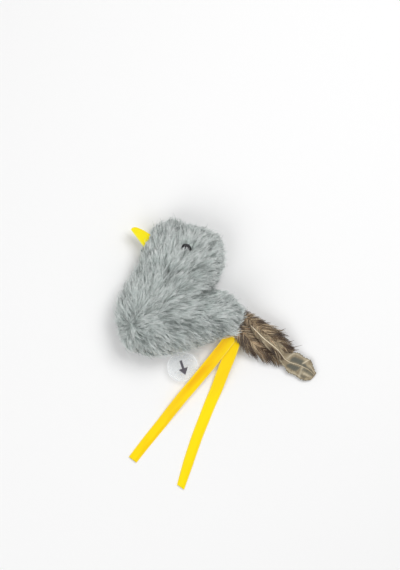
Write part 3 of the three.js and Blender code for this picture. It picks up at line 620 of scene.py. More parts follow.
# %% Four shells of fabric
NECK_RIGHT, NECK_LEFT = on_side([[214, 289], [136.5, 266]])
NECK_UP = unit((NECK_LEFT - NECK_RIGHT)[::-1] * [1, -1])
BACKING_COLUMNS = 96
BACKING_ROWS = 30
CHORD_POINTS = 24
RIM_PILE = 2.8 * MM
UPPER_PILE = 1.7 * MM
LOWER_PILE = 1.9 * MM
UPPER_LINING = 4.3 * MM
LOWER_LINING = 3.15 * MM
LAST_RING = 0.985
KNIT_SCALE = 900.0
KNIT_DEPTH = 0.2 * MM
ZONES = {
    "body_plush_upper": (1, -1), "body_plush_lower": (-1, -1),
    "head_plush_upper": (1, 1), "head_plush_lower": (-1, 1),
}


def zone_loop(margin, part):
    """The inset outline on one side of the neck line, closed along that line."""
    loop = inset(outline, margin)
    above = (loop - NECK_RIGHT) @ NECK_UP * part
    start = int(np.argmax((above > 0) & (np.roll(above, 1) <= 0)))
    loop, above = np.roll(loop, -start, 0), np.roll(above, -start)
    kept = loop[above > SEAM_GAP / 2]
    chord = np.linspace(kept[-1], kept[0], CHORD_POINTS)[1:-1]
    return evenly(np.concatenate([kept, chord, kept[:1]]), BACKING_COLUMNS, closed=True)


def zone_grid(sign, part, depth, margin, rows):
    """Rings from the edge to the middle of a zone: middle + (1 - u^2) * (edge - middle), u from 0 up."""
    loop = zone_loop(margin, part)
    middle = loop.mean(0)
    u = np.linspace(0, LAST_RING, rows)[:, None, None]
    places = middle + (1 - u**2) * (loop - middle)
    return np.concatenate([places, height(places, sign, depth, margin)[..., None]], -1)


backing = Finish("knitted_backing", Roughness=0.9)
knit = backing.node("TexWave", {"wave_type": "BANDS", "bands_direction": "DIAGONAL"},
                    {"Vector": backing.place(), "Scale": KNIT_SCALE, "Distortion": 2.0}, "Fac")
backing.wear(Base_Color=backing.mix(knit, (0.17, 0.195, 0.185), (0.26, 0.29, 0.275)),
             Normal=backing.bump(knit, KNIT_DEPTH))
fabric_grids = {}
for name, (sign, part) in ZONES.items():
    pile, lining = (UPPER_PILE, UPPER_LINING) if sign > 0 else (LOWER_PILE, LOWER_LINING)
    face = zone_grid(sign, part, pile, RIM_PILE, BACKING_ROWS)
    back = zone_grid(sign, part, lining, UPPER_LINING, BACKING_ROWS // 2)
    fabric_grids[name] = face
    mesh = grid_mesh(name.replace("plush", "backing"), np.concatenate([face[::-1], back]))
    new_piece(mesh, backing, replaces=[name])

# %% [markdown]
# Plush pile of this length falls in wavy locks. A particle system would make it, but it leaves no mesh,
# so each hair is a tapered tube with three sides. All tubes are worked out at once: the paths are an
# array of hairs by steps, and every tube has the same pattern of faces, moved on by its first point.

# %% Tubes for hairs and barbs
TUBE_SIDES = 3
MAP_TONE, MAP_SIDE = 0.96, 0.012


def tapered_tubes(paths, radii, ups):
    """Closed tubes. Ring k is path_k + radius_k * (cos a * across + sin a * up), and the path's last
    point is the tip."""
    count, steps = paths.shape[:2]
    across, up = sides_of(paths, ups[:, None])
    turn = 2 * np.pi * np.arange(TUBE_SIDES) / TUBE_SIDES + np.pi / 2
    rings = paths[:, :-1, None] + radii[:-1, None, None] * (
        np.cos(turn)[:, None] * across[:, :-1, None] + np.sin(turn)[:, None] * up[:, :-1, None]
    )
    points = np.concatenate([rings.reshape(count, -1, 3), paths[:, -1:]], 1)
    pattern = []
    for row in range(steps - 2):
        for k in range(TUBE_SIDES):
            a, b = row * TUBE_SIDES + k, row * TUBE_SIDES + (k + 1) % TUBE_SIDES
            pattern += [[a, b, b + TUBE_SIDES], [a, b + TUBE_SIDES, a + TUBE_SIDES]]
    tip = (steps - 1) * TUBE_SIDES
    last = tip - TUBE_SIDES
    pattern += [[last + k, last + (k + 1) % TUBE_SIDES, tip] for k in range(TUBE_SIDES)]
    pattern += [[0, k + 1, k] for k in range(1, TUBE_SIDES - 1)]
    faces = np.array(pattern) + np.arange(count)[:, None, None] * (tip + 1)
    return points.reshape(-1, 3), [faces.reshape(-1, 3)], np.array(pattern)


def hair_mesh(name, paths, radius, taper, ups, tones, begin=0.0):
    """A mesh of tubes with radius * (1 - t)^taper and two values at each point: along, from begin at the
    root to 1 at the tip, and the hair's tone. The UV map has the tone across and along upwards."""
    count, steps = paths.shape[:2]
    points, faces, pattern = tapered_tubes(paths, radius * np.linspace(1, 0, steps) ** taper, ups)
    along = np.append(np.repeat(np.arange(steps - 1), TUBE_SIDES), steps - 1) / (steps - 1)
    side_of = np.append(np.tile(np.arange(TUBE_SIDES), steps - 1), 0.5)
    tone = np.broadcast_to(tones[:, None], (count, len(along)))
    map_across = (tone * MAP_TONE + side_of * MAP_SIDE).clip(0, 1)
    map_along = 1 - (1 - np.broadcast_to(begin, count)[:, None]) * (1 - along)
    places = np.stack([map_across[:, pattern], map_along[:, pattern]], -1).reshape(-1, 2)
    return mesh_from(name, points, faces, places, along=map_along, tone=tone)


print("a tube of 4 rings has", 3 * 2 * TUBE_SIDES + TUBE_SIDES + 1, "triangles")

# %% [markdown]
# Real pile has a direction, and strokes of it lie apart. Blender's hair tools would comb it by hand. Here
# a table does it, so that it comes out the same each time: the direction was read off the photograph at
# nearly fifty places, as pixel and way. Between them it is a mean weighted by distance. On the dome the
# way is laid into the surface, and at the rim it also turns a little towards the seam.

# %% How the pile is combed
COMBED = np.array([
    [156, 246, 0.05, -1], [151, 265, 0.1, -1], [165, 265, 0.25, -0.95], [175, 250, 0.2, -1],
    [155, 226, -0.2, -1], [165, 222, -0.1, -1], [175, 227, 0.05, -1], [189, 229, 0.4, -0.9],
    [204, 235, 0.65, -0.75], [213, 241, 0.8, -0.55], [189, 265, 0.65, -0.75], [199, 260, 0.8, -0.55],
    [209, 251, 0.9, -0.4], [213, 265, 1, 0], [204, 275, 0.95, 0.15], [208, 284, 0.9, 0.4],
    [180, 278, 0.65, -0.75], [194, 284, 0.95, 0.15], [141, 289, 0.2, -1], [132, 299, -0.1, -1],
    [156, 294, 0.5, -0.85], [170, 289, 0.65, -0.75], [165, 304, 0.83, -0.56], [151, 313, 0.8, -0.57],
    [184, 303, 0.9, 0.1], [194, 308, 0.9, 0.15], [213, 304, 0.97, -0.25], [223, 299, 0.85, -0.5],
    [232, 313, 1, 0.05], [218, 328, 0.9, 0.4], [205, 295, 0.9, 0.2], [146, 323, 1, -0.1],
    [156, 330, 0.9, 0.35], [170, 323, 0.95, 0.15], [146, 337, 0.55, 0.85], [132, 343, -0.1, 1],
    [124, 328, -0.8, 0.45], [165, 342, 0.6, 0.8], [184, 337, 0.75, 0.65], [204, 332, 0.85, 0.55],
    [120, 313, -0.5, -0.85], [118, 322, -0.95, -0.1], [128, 310, -0.2, -1], [194, 272, 0.8, -0.45],
    [201, 268, 0.92, -0.35], [188, 274, 0.75, -0.6], [186, 239, -0.4, -0.9], [195, 243, 0.8, -0.6],
])
COMB_PLACES = on_side(COMBED[:, :2])
COMB_WAYS = unit(COMBED[:, 2:] * [1, -1])
COMB_BLUR = 2 * MM
RIM_TURN = {1: -0.3, -1: 0.2}
PILE_TURN = 0.17
PILE_WAVES = ((0.41, 0.27, 1.3), (-0.36, 0.29, 4.1), (0.63, -0.51, 2.2))


def combing(roots, normals, sign):
    """The mean of the combed ways, weighted by distance^-3, laid into the surface. The mean's length
    is 1 where the ways around agree, and less in a whorl or a parting."""
    gap = np.linalg.norm(roots[:, None, :2] - COMB_PLACES, axis=-1)
    weight = (gap + COMB_BLUR) ** -3
    mean = (weight[..., None] * COMB_WAYS).sum(1) / weight.sum(1)[:, None]
    way = np.column_stack([unit(mean), np.full(len(mean), RIM_TURN[sign])])
    agree = np.linalg.norm(mean, axis=1, keepdims=True)
    return unit(way - (way * normals).sum(1, keepdims=True) * normals), agree


def drift(places):
    """A slow turn of the pile in radians: turn * the sum of sin(ax + by + c) over three waves, which are
    8 to 14 mm long."""
    x, y = places[:, 0] / MM, places[:, 1] / MM
    return PILE_TURN * sum(np.sin(a * x + b * y + c) for a, b, c in PILE_WAVES)


print(len(COMBED), "places combed")

# %% [markdown]
# Hairs are rooted evenly over the fabric. Some things about them depend on where they stand: a bell is
# 1 at a place and fades around it, and a few bells together shorten, lengthen or darken the pile.

# %% Places on the fabric
def scatter(grid, sign, count, rng):
    """Places and normals spread evenly over a grid of rings. A face is picked by its area, and a place on
    it is (a(1 - u) + bu)(1 - v) + (d(1 - u) + cu)v of its corners."""
    a, b = grid[:-1], grid[1:]
    c, d = np.roll(b, -1, 1), np.roll(a, -1, 1)
    cross = np.cross(c - a, d - b)
    area = np.linalg.norm(cross, axis=-1).ravel()
    picked = rng.choice(area.size, count, p=area / area.sum())
    u, v = rng.random((2, count, 1))
    a, b, c, d = [x.reshape(-1, 3)[picked] for x in (a, b, c, d)]
    place = (a * (1 - u) + b * u) * (1 - v) + (d * (1 - u) + c * u) * v
    normal = unit(cross.reshape(-1, 3)[picked])
    return place, normal * np.sign(normal[:, 2:] * sign)


def bell(places, middle, span):
    """exp(-(gap / span)^2), where gap is the distance from the middle as seen from above."""
    return np.exp(-((np.linalg.norm(places[..., :2] - middle, axis=-1) / span) ** 2))


def near(places, spots):
    """1 minus the product of 1 - share * bell over the spots, each a pixel, a span and a share."""
    left = np.ones(places.shape[:-1])
    for x, y, span, share in spots:
        left = left * (1 - share * bell(places, on_side([x, y]), span))
    return 1 - left


LONG_PLACE = on_side([229, 333])
LONG_SPAN = 4.4 * MM
SHORT_PLACES = [[148, 241, 2.6 * MM, 0.68], [240, 330, 4.6 * MM, 0.85]]
SHORT_WIDTH = 15 * MM
RIM_SHORTER = 0.8
CREASE_SHORTER = 0.6


def kept_length(roots, ways, from_edge):
    """The share of its length that a hair keeps: less at the rim where it points outwards, though not
    over the legs' roots, and less at the short places by the beak and the tail."""
    outward = (ways[:, :2] * unit(roots[:, :2] - CENTRE)).sum(1).clip(0, 1)
    shorter = RIM_SHORTER * outward * (1 - smooth_step(from_edge, 0, SHORT_WIDTH))
    shorter = shorter * (1 - bell(roots, LONG_PLACE, LONG_SPAN))
    return (1 - shorter) * (1 - near(roots, SHORT_PLACES))


print("over the legs' roots the pile keeps", round(float(bell(LONG_PLACE, LONG_PLACE, LONG_SPAN)), 2))

# %% [markdown]
# Pile hangs together in locks, because the fibres are crimped and catch in each other. Child particles
# could clump them, but here it takes only a few lines: some hairs are leaders, and each other hair is
# drawn towards the nearest one, more so towards its tip. The barbs of the feathers use this as well.

# %% Drawing a lock together
PATHS_AT_ONCE = 1000
PULL_POWER = 1.4


def drawn_together(paths, leader_count, draw, reach, rng):
    """Moves each path towards its nearest leader's by draw * t^power * exp(-(gap / reach)^4) of the way."""
    count, steps = paths.shape[:2]
    t = np.linspace(0, 1, steps)[None, :, None]
    leaders = rng.permutation(count)[:leader_count]
    middle = paths[:, steps // 2]
    nearest = np.concatenate([
        leaders[np.linalg.norm(some[:, None] - middle[leaders], axis=-1).argmin(1)]
        for some in np.array_split(middle, max(count // PATHS_AT_ONCE, 1))
    ])
    gap = np.linalg.norm(middle[nearest] - middle, axis=1)[:, None, None]
    pull = draw * t**PULL_POWER * np.exp(-((gap / reach) ** 4))
    return paths + (paths[nearest] - paths) * pull, nearest


print("leaders are looked for", PATHS_AT_ONCE, "paths at a time")

# %% [markdown]
# A hair leaves the fabric at a slant, lies down along the combed way and waves a little, and a few
# strays stand out of their lock. What the eye sees of pile is mostly the dark between the locks, so a
# lock shares its tone. Painted shade darkens the tone along the neck's crease and in hollows, and painted
# light makes the breast paler.

# %% Locks
HAIR_RINGS = 4
HAIR_LENGTH = 9.6 * MM
HAIR_LIFT = {1: 0.58, -1: 0.36}
LIFT_FALL = 0.4
TOP_CURVE = 26 * MM
RIM_CURVE = 8 * MM
RIM_WIDTH = 11 * MM
LOCK_REACH = 3.6 * MM
LOCK_SPACING = 1.15 * MM
LOCK_DRAW = 0.85
COVERED_SHARE = 0.9
SWING = 0.17
WHORL_SWING = 0.9
WHORL_BACK = 0.6
LENGTH_SPREAD, LENGTH_RANGE = 0.16, (0.55, 1.5)
LIFT_SPREAD, LIFT_RANGE = 0.35, (0.2, 2)
STRAY_SHARE = 0.13
STRAY_LIFT = 1.5
WAVES = 1.1
WAVE_SHARE = 0.07
CROWN_TOP = on_side([170, 219])
CROWN_SETTLE = 1.8 * MM
CROWN_SPAN = 14 * MM
LOCK_TONE, HAIR_TONE = 0.78, 0.22
CREASE_SHADE = 0.8
# Painted shade: places where the pile's tone is darkened.
HOLLOW_PAINTED_SHADE = [
    [172.5, 320.5, 3 * MM, 0.9], [187, 330, 3 * MM, 0.7], [168, 296.5, 2.4 * MM, 0.5],
    [188, 309.5, 2.4 * MM, 0.3], [217.5, 326.5, 2.6 * MM, 0.5], [160, 305, 2.4 * MM, 0.4],
    [153, 331, 2.2 * MM, 0.4], [205, 292.5, 2.4 * MM, 0.6],
]
# Painted light: a place where the pile's tone is lifted.
BREAST_PAINTED_LIGHT = [[141, 301, 9 * MM, 0.6]]


def locks_of_hair(grid, sign, count, seed):
    """Hair paths. path(t) = root + L * (t - back) * way + (L * lift * t(1 - 0.4t) - (L t)^2 / 2R) * normal
    + L * wave * t * side. R is smaller at the rim, and back is above zero only in a whorl, where the
    hairs then cross over its middle. The crown is pressed down a little."""
    rng = np.random.default_rng(seed)
    roots, normals = scatter(grid, sign, count, rng)
    ways, agree = combing(roots, normals, sign)
    sides = np.cross(normals, ways)
    swing = rng.normal(0, 1, (count, 1)) * (SWING + WHORL_SWING * (1 - agree)) + drift(roots)[:, None]
    ways = unit(ways + swing * sides)
    length = HAIR_LENGTH * rng.normal(1, LENGTH_SPREAD, (count, 1, 1)).clip(*LENGTH_RANGE)
    lift = HAIR_LIFT[sign] * rng.normal(1, LIFT_SPREAD, (count, 1, 1)).clip(*LIFT_RANGE)
    stray = rng.random((count, 1, 1)) < STRAY_SHARE
    lift = np.where(stray, lift * STRAY_LIFT, lift)
    t = np.linspace(0, 1, HAIR_RINGS + 1)[None, :, None]
    wave = np.sin(2 * np.pi * (WAVES * t + rng.random((count, 1, 1)))) * WAVE_SHARE
    from_edge = edge_distance(roots[:, :2], outline)
    curve = RIM_CURVE + (TOP_CURVE - RIM_CURVE) * smooth_step(from_edge, 0, RIM_WIDTH)
    length = length * (1 - CREASE_SHORTER * crease(roots[:, :2]))[:, None, None]
    length = length * kept_length(roots, ways, from_edge)[:, None, None]
    bend = lift * t * (1 - LIFT_FALL * t) * length - (length * t) ** 2 / (2 * curve[:, None, None])
    back = WHORL_BACK * (1 - agree[..., None])
    paths = (roots[:, None] + length * (t - back) * ways[:, None] + bend * normals[:, None]
             + length * wave * t * sides[:, None])
    paths[..., 1] -= (CROWN_SETTLE * bell(roots, CROWN_TOP, CROWN_SPAN))[:, None]
    leader_count = int(COVERED_SHARE * np.ptp(roots[:, :2], axis=0).prod() / LOCK_SPACING**2)
    drawn, nearest = drawn_together(paths, leader_count, LOCK_DRAW, LOCK_REACH, rng)
    paths = np.where(stray, paths, drawn)
    tones = LOCK_TONE * rng.random(count)[nearest] + HAIR_TONE * rng.random(count)
    # Painted shade: darker tone along the neck's crease and in the hollows.
    tones = tones * (1 - CREASE_SHADE * crease(paths[:, 2, :2])) * (1 - near(paths[:, 2], HOLLOW_PAINTED_SHADE))
    # Painted light: the breast's tone is lifted.
    return paths, normals, (tones * (1 + near(paths[:, 2], BREAST_PAINTED_LIGHT))).clip(0, 1)


print("a lock is about", LOCK_SPACING / MM, "mm wide, and", STRAY_SHARE, "of the hairs are strays")

# %% [markdown]
# The pile parts around the eye: a crescent of it is bare, and behind it a veil of hairs falls over the
# dome, with a few gaps where black shows between them. Hairs could be cut where they enter the crescent,
# but a blunt end would show, so a hair that would cross it is shortened along its own path and still
# ends in its tip.

# %% The pile's parting at the eye
EYE = on_side([186, 249.5])
EYE_RADIUS = 3.4 * MM
EYE_DOME = 2.6 * MM
BARE_SHIFT = np.array([0.1, -0.45]) * MM
BARE_RADIUS = 3.3 * MM
BARE_MARGIN = 1.02
VEIL_SHIFT = np.array([-0.45, -1.5]) * MM
VEIL_RADIUS = 3.35 * MM
VEIL_UNEVEN = 0.05
VEIL_SEED = 3
VEIL_RISE = 0.25 * MM
VEIL_REACH = 1.15
VEIL_GAPS = [
    [[185.8, 245.6], [184.8, 249.7]], [[182.6, 245.4], [182.4, 247.8]], [[188.4, 247], [188.3, 248.8]],
]
VEIL_GAP_HALF = 0.42 * MM
VEIL_GAP_FALL = 1.15
FINE_STEPS = 21
SHORTEST_KEPT = 0.2


def shortened(paths, reach, steps):
    """The first part of each path, reach from 0 to 1, as evenly spread points."""
    last = paths.shape[1] - 1
    at = np.broadcast_to(reach, len(paths))[:, None] * np.linspace(0, last, steps)
    low = np.floor(at).astype(int).clip(0, last - 1)
    share = (at - low)[..., None]
    rows = np.arange(len(paths))[:, None]
    return paths[rows, low] * (1 - share) + paths[rows, low + 1] * share


def in_veil_gap(places):
    """Whether a place is in one of the veil's gaps. A gap is a line with a width that falls along it:
    half * (fall - share), where share runs from 0 to 1 from one end to the other."""
    found = np.zeros(places.shape[:-1], bool)
    for ends in VEIL_GAPS:
        start, stop = on_side(ends) + BARE_SHIFT
        share = ((places - start) @ (stop - start) / ((stop - start) @ (stop - start))).clip(0, 1)
        off = np.linalg.norm(places - start - share[..., None] * (stop - start), axis=-1)
        found |= off < VEIL_GAP_HALF * (VEIL_GAP_FALL - share)
    return found


def parted_at_eye(paths):
    """Moves the hairs rooted under the eye out to its rim, shortens those that would cross the bare
    crescent or a gap of the veil, lays the others over the dome, and says which ones are long enough
    to be kept. The dome's height is top - dome * (gap / radius)^2."""
    arm = paths[:, :1, :2] - EYE - BARE_SHIFT
    under = np.maximum(BARE_RADIUS * BARE_MARGIN - np.linalg.norm(arm, axis=-1, keepdims=True), 0)
    paths[..., :2] += unit(arm) * under
    fine = shortened(paths, 1, FINE_STEPS)[..., :2]
    uneven = np.random.default_rng(VEIL_SEED).normal(1, VEIL_UNEVEN, (len(paths), 1))
    over_veil = np.linalg.norm(fine - EYE - VEIL_SHIFT, axis=-1) > VEIL_RADIUS * uneven
    bare = np.linalg.norm(fine - EYE - BARE_SHIFT, axis=-1) < BARE_RADIUS
    bare &= over_veil | in_veil_gap(fine)
    first = np.where(bare.any(1), bare.argmax(1), FINE_STEPS)
    reach = ((first - 0.5) / (FINE_STEPS - 1)).clip(0, 1)
    paths = shortened(paths, reach, paths.shape[1])
    gap = np.linalg.norm(paths[..., :2] - EYE, axis=-1)
    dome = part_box("upper_eye")[1].z - EYE_DOME * (gap / EYE_RADIUS) ** 2 + VEIL_RISE
    over = gap < EYE_RADIUS * VEIL_REACH
    paths[..., 2] = np.where(over, np.maximum(paths[..., 2], dome), paths[..., 2])
    return paths, reach > SHORTEST_KEPT


print("the veil has", len(VEIL_GAPS), "gaps")

# %% [markdown]
# The pile's colour comes from two numbers on each hair: how far along it a point is, and the tone of its
# lock. Roots are painted dark and tips pale, a painted shade deep in the pile. A low tone goes towards a
# deep grey, which carries both a lock's random tone and the painted shade of the crease, the hollows and
# the veil. A little sheen gives the soft light edge of plush. A piece keeps under 200,000 triangles, so a
# thick zone is shared out over a few pieces.

# %% Fur
HAIR_RADIUS = 0.145 * MM
HAIR_TAPER = 0.6
FLOOR_CLEARANCE = 0.35 * MM
VEIL_SHADE = 0.5
VEIL_SHADE_SPAN = 2.6 * MM
BROW = on_side([191.5, 245])
BROW_SPAN = 3.6 * MM
BROW_BEGIN = 0.42
HAIR_COUNTS = {
    "body_plush_upper": (3, 8800), "body_plush_lower": (1, 8800),
    "head_plush_upper": (2, 7000), "head_plush_lower": (1, 5000),
}

fur = Finish("grey_pile", Roughness=0.62, Sheen_Weight=0.2, Sheen_Roughness=0.4)
# Painted shade: roots dark, tips pale.
root_to_tip = fur.node("ValToRGB", {"stops": [
    (0.0, (0.30, 0.345, 0.33)), (0.35, (0.73, 0.80, 0.775)), (0.75, (0.965, 1.0, 0.985)),
    (1.0, (0.985, 1.0, 0.995))]}, {"Fac": fur.attribute("along")})
# Low tones go deep grey: a lock's random tone, and painted shade where tones were darkened.
deep = fur.mix(0.88, root_to_tip, (0.20, 0.24, 0.225))
fur.wear(Base_Color=fur.mix(fur.attribute("tone").ridge(0.06, 0.48), deep, root_to_tip))

for seed, (name, (batches, count)) in enumerate(HAIR_COUNTS.items()):
    sign = ZONES[name][0]
    paths, normals, tones = locks_of_hair(fabric_grids[name], sign, batches * count, seed)
    if name == "head_plush_upper":
        paths, kept = parted_at_eye(paths)
        paths, normals, tones = paths[kept], normals[kept], tones[kept]
        middle = paths[:, HAIR_RINGS // 2]
        # Painted shade: the veil's hairs over the black eye are darker.
        tones = tones * (1 - VEIL_SHADE * bell(middle, EYE + VEIL_SHIFT, VEIL_SHADE_SPAN))
    paths[..., 2] = np.maximum(paths[..., 2], FLOOR_CLEARANCE)
    # Near the brow the roots start part way along the ramp, so they carry less painted shade.
    begin = BROW_BEGIN * bell(paths[:, 0], BROW, BROW_SPAN) * (sign > 0)
    for batch in range(batches):
        some = slice(batch, None, batches)
        mesh = hair_mesh(f"{name.replace('plush', 'fur')}_{batch + 1}", paths[some], HAIR_RADIUS,
                         HAIR_TAPER, normals[some], tones[some], begin[some])
        new_piece(mesh, fur)

# %% [markdown]
# The beak is one triangle of yellow felt, folded along its lower edge and sewn in at its root. A flat
# sheet could be bent and given a thickness by a modifier. But cut across, the beak is a narrow V with a
# round fold, so a V-shaped section that grows from the tip to the root gives both faces and the fold at
# once. Felt has no weave: short fibres lie in all directions, which a fine noise gives.

# %% The beak
BEAK_FOLD = on_side([[131, 229.3], [147.3, 251]])
BEAK_EDGE = on_side([[132.4, 227.7], [136, 227.2], [142.6, 229.8], [148, 233], [151.5, 235.5]])
FELT_THICKNESS = 0.9 * MM
BEAK_GAPE = 2.6 * MM
BEAK_TIP_SHARE = 0.1
FOLD_ROUNDNESS = 0.3
BEAK_ROWS = 30
BEAK_COLUMNS = 41
FIBRE_SCALE = 2600.0
FELT_CLOUD_SCALE = 320.0
FIBRE_DEPTH = 0.25 * MM

felt = Finish("yellow_felt", Roughness=0.95, Sheen_Weight=0.3, Sheen_Roughness=0.5)
fibres = felt.noise(FIBRE_SCALE, 4.0)
clouds = felt.noise(FELT_CLOUD_SCALE)
fold = felt.attribute("fold")
felt_colour = felt.mix(fibres.ridge(0.3, 0.7) * 0.6, (0.97, 0.80, 0.0), (1.0, 0.90, 0.005))
# Painted shade: deeper orange towards the two open edges.
felt_colour = felt.mix(fold.ridge(0.75, 1.0) * 0.35, felt_colour, (0.93, 0.66, 0.0))
# Painted highlight: a pale lemon band along the rounded fold.
felt_colour = felt.mix(1 - fold.ridge(0.05, 0.3), felt_colour, (1.0, 0.95, 0.16))
felt.wear(Base_Color=felt_colour, Normal=felt.bump(fibres + clouds * 0.6, FIBRE_DEPTH, 0.6))


def beak_rings():
    """V sections from tip to root. A section's middle line is foot + a * across, share * gape * w, for w
    from -1 to 1 and a = sqrt(w^2 + f^2) - f, and the ring runs out on one side of it and back on the
    other. The second result is |w|, which is 0 at the fold."""
    s = np.linspace(0, 1, BEAK_ROWS)[:, None]
    share = BEAK_TIP_SHARE + (1 - BEAK_TIP_SHARE) * s
    foot = BEAK_FOLD[0] + s * (BEAK_FOLD[1] - BEAK_FOLD[0])
    across = smooth_path(BEAK_EDGE, BEAK_ROWS) - foot
    w = np.sin(np.linspace(-np.pi / 2, np.pi / 2, BEAK_COLUMNS))
    a = np.sqrt(w**2 + FOLD_ROUNDNESS**2) - FOLD_ROUNDNESS
    a = a / a[-1]
    length = np.linalg.norm(across, axis=1, keepdims=True)
    line = np.stack([a * length, w * share * BEAK_GAPE * (0.85 + 0.15 * w**2)], -1)
    run = unit(np.gradient(line, axis=1))
    normal = np.stack([run[..., 1], -run[..., 0]], -1)
    half = FELT_THICKNESS / 2 * np.sqrt(1 - 0.9 * w[:, None] ** 16) * (0.55 + 0.45 * share[..., None])
    ring = np.concatenate([line + normal * half, (line - normal * half)[:, ::-1]], 1)
    flat = foot[:, None] + ring[..., :1] * (across / length)[:, None]
    rings = np.concatenate([flat, ring[..., 1:] + SEAM_HEIGHT], -1)
    return rings, np.abs(np.append(w, w[::-1]))


rings, fold_values = beak_rings()
fold_values = np.append(np.tile(fold_values, BEAK_ROWS), [0, 0])
new_piece(mesh_from("beak_felt", *loft(rings), fold=fold_values), felt, replaces=["beak"])
print("beak root", round(np.linalg.norm(BEAK_EDGE[-1] - BEAK_FOLD[1]) / MM, 1), "mm")

# %% [markdown]
# The eyes are safety eyes: a polished black dome on a stem that goes through the fabric. A sphere would
# be too deep, so a profile is turned about its axis, and the dome follows an arc that takes a clean
# highlight.

# %% The eyes
STEM_RADIUS = 1.0 * MM
BRIM_DROP = 0.2 * MM
BRIM_SHARE = 0.97
EYE_COLUMNS = 48
EYE_ROWS = 21
SPECK_SCALE = 900.0

polish = Finish("black_polish")
speck = polish.noise(SPECK_SCALE)
polish.wear(Base_Color=polish.mix(speck, (0.006, 0.006, 0.008), (0.016, 0.015, 0.018)),
            Roughness=0.05 + speck * 0.08)


def eye_rings(sign, foot, stem_end):
    """A turned profile: a stem, a brim, then r = R * cos a, z = foot + dome * sin a."""
    angle = np.linspace(0, np.pi / 2, EYE_ROWS, endpoint=False)
    brim = foot - sign * BRIM_DROP
    profile = np.array(
        [[STEM_RADIUS, z] for z in np.linspace(stem_end, brim, 6)[:-1]]
        + [[r, brim] for r in np.linspace(STEM_RADIUS, EYE_RADIUS * BRIM_SHARE, 5)]
        + [[EYE_RADIUS * np.cos(a), foot + sign * EYE_DOME * np.sin(a)] for a in angle]
    )
    turn = np.linspace(0, 2 * np.pi, EYE_COLUMNS, endpoint=False)
    flat = EYE + profile[:, None, :1] * np.stack([np.cos(turn), np.sin(turn)], -1)
    return np.concatenate([flat, np.broadcast_to(profile[:, None, 1:], flat.shape[:2] + (1,))], -1)


for name, sign in (("upper_eye", 1), ("lower_eye", -1)):
    heights = [corner.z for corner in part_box(name)][::sign]
    foot = heights[1] - sign * EYE_DOME
    ends = np.array([[*EYE, heights[0]], [*EYE, foot + sign * EYE_DOME]])
    mesh = grid_mesh(f"{name}_bead", eye_rings(sign, foot, heights[0]), ends)
    new_piece(mesh, polish, replaces=[name])
    print("its dome's foot is at", round(foot / MM, 1), "mm")

# %% [markdown]
# A feather is a shaft with barbs. Near its root the barbs are loose and fluffy, towards its tip they
# hook together into a flat vane. A painted sheet with holes would do from one side, but fluff that is
# made of strands is right from all sides. Each of the three feathers is described by a few rows: how
# far along the tail, how far aside its middle is, and how wide it is there.

# %% The tail's line and the three feathers
TAIL_ROOT, TAIL_TIP = on_side([[237.7, 316], [318, 380]])
TAIL_LENGTH = np.linalg.norm(TAIL_TIP - TAIL_ROOT)
TAIL_WAY = (TAIL_TIP - TAIL_ROOT) / TAIL_LENGTH
TAIL_SIDE = np.array([-TAIL_WAY[1], TAIL_WAY[0]])
TAIL_HEIGHT = 12.3 * MM
TAIL_TIP_HEIGHT = 2 * MM
TAIL_FALL = 1.6
FEATHER_STEP = 1.5 * MM
SHAFT_RISE = 2.1 * MM
LINE_POINTS = 80
FEATHERS = {
    "tail_feather_upper": (1, 13.4 * MM, [
        [-0.02, 0.12, 0.34], [0.06, 0.16, 0.62], [0.12, 0.2, 0.7], [0.18, 0.23, 0.68], [0.27, 0.19, 0.81],
        [0.36, 0.19, 0.91], [0.45, 0.22, 1], [0.53, 0.22, 0.87], [0.58, 0.25, 0.68], [0.62, 0.29, 0.46],
        [0.655, 0.34, 0.16]]),
    "tail_feather_barred": (0, 13.4 * MM, [
        [0.12, 0.05, 0.11], [0.2, 0, 0.28], [0.3, -0.05, 0.4], [0.4, -0.05, 0.49], [0.5, -0.05, 0.58],
        [0.58, -0.1, 0.61], [0.63, -0.13, 0.71], [0.665, -0.1, 0.92], [0.7, -0.07, 1.02],
        [0.76, -0.04, 1.08], [0.83, -0.02, 1.04], [0.89, -0.02, 0.86], [0.935, -0.03, 0.6],
        [0.955, -0.01, 0.4], [0.97, 0.01, 0.1]]),
    "tail_feather_lower": (-1, 14.6 * MM, [
        [-0.03, -0.16, 0.42], [0.04, -0.3, 0.66], [0.09, -0.36, 0.8], [0.13, -0.4, 0.82],
        [0.19, -0.44, 0.94], [0.3, -0.48, 1.04], [0.38, -0.43, 0.99], [0.46, -0.41, 0.96],
        [0.54, -0.37, 0.81], [0.61, -0.36, 0.57], [0.66, -0.38, 0.28]]),
}


def tail_place(away, aside, rise):
    """Root + away * L * way + aside * side, at height tip + (root - tip) * (1 - away)^fall + rise."""
    away = np.asarray(away, float)
    flat = TAIL_ROOT + away[..., None] * TAIL_LENGTH * TAIL_WAY + np.asarray(aside)[..., None] * TAIL_SIDE
    fall = TAIL_TIP_HEIGHT + (TAIL_HEIGHT - TAIL_TIP_HEIGHT) * np.clip(1 - away, 0, 1) ** TAIL_FALL
    return np.concatenate([flat, (fall + rise)[..., None]], -1)


def across_line(rows, vane_width):
    """Functions of the away share: how far aside the vane's middle is, and half its width."""
    fine = np.linspace(rows[0][0], rows[-1][0], LINE_POINTS)
    smooth = smooth_path(rows, LINE_POINTS)
    middle = np.interp(fine, smooth[:, 0], smooth[:, 1]) * vane_width
    half = np.interp(fine, smooth[:, 0], smooth[:, 2].clip(0.02)) * vane_width / 2
    return lambda away: np.interp(away, fine, middle), lambda away: np.interp(away, fine, half)


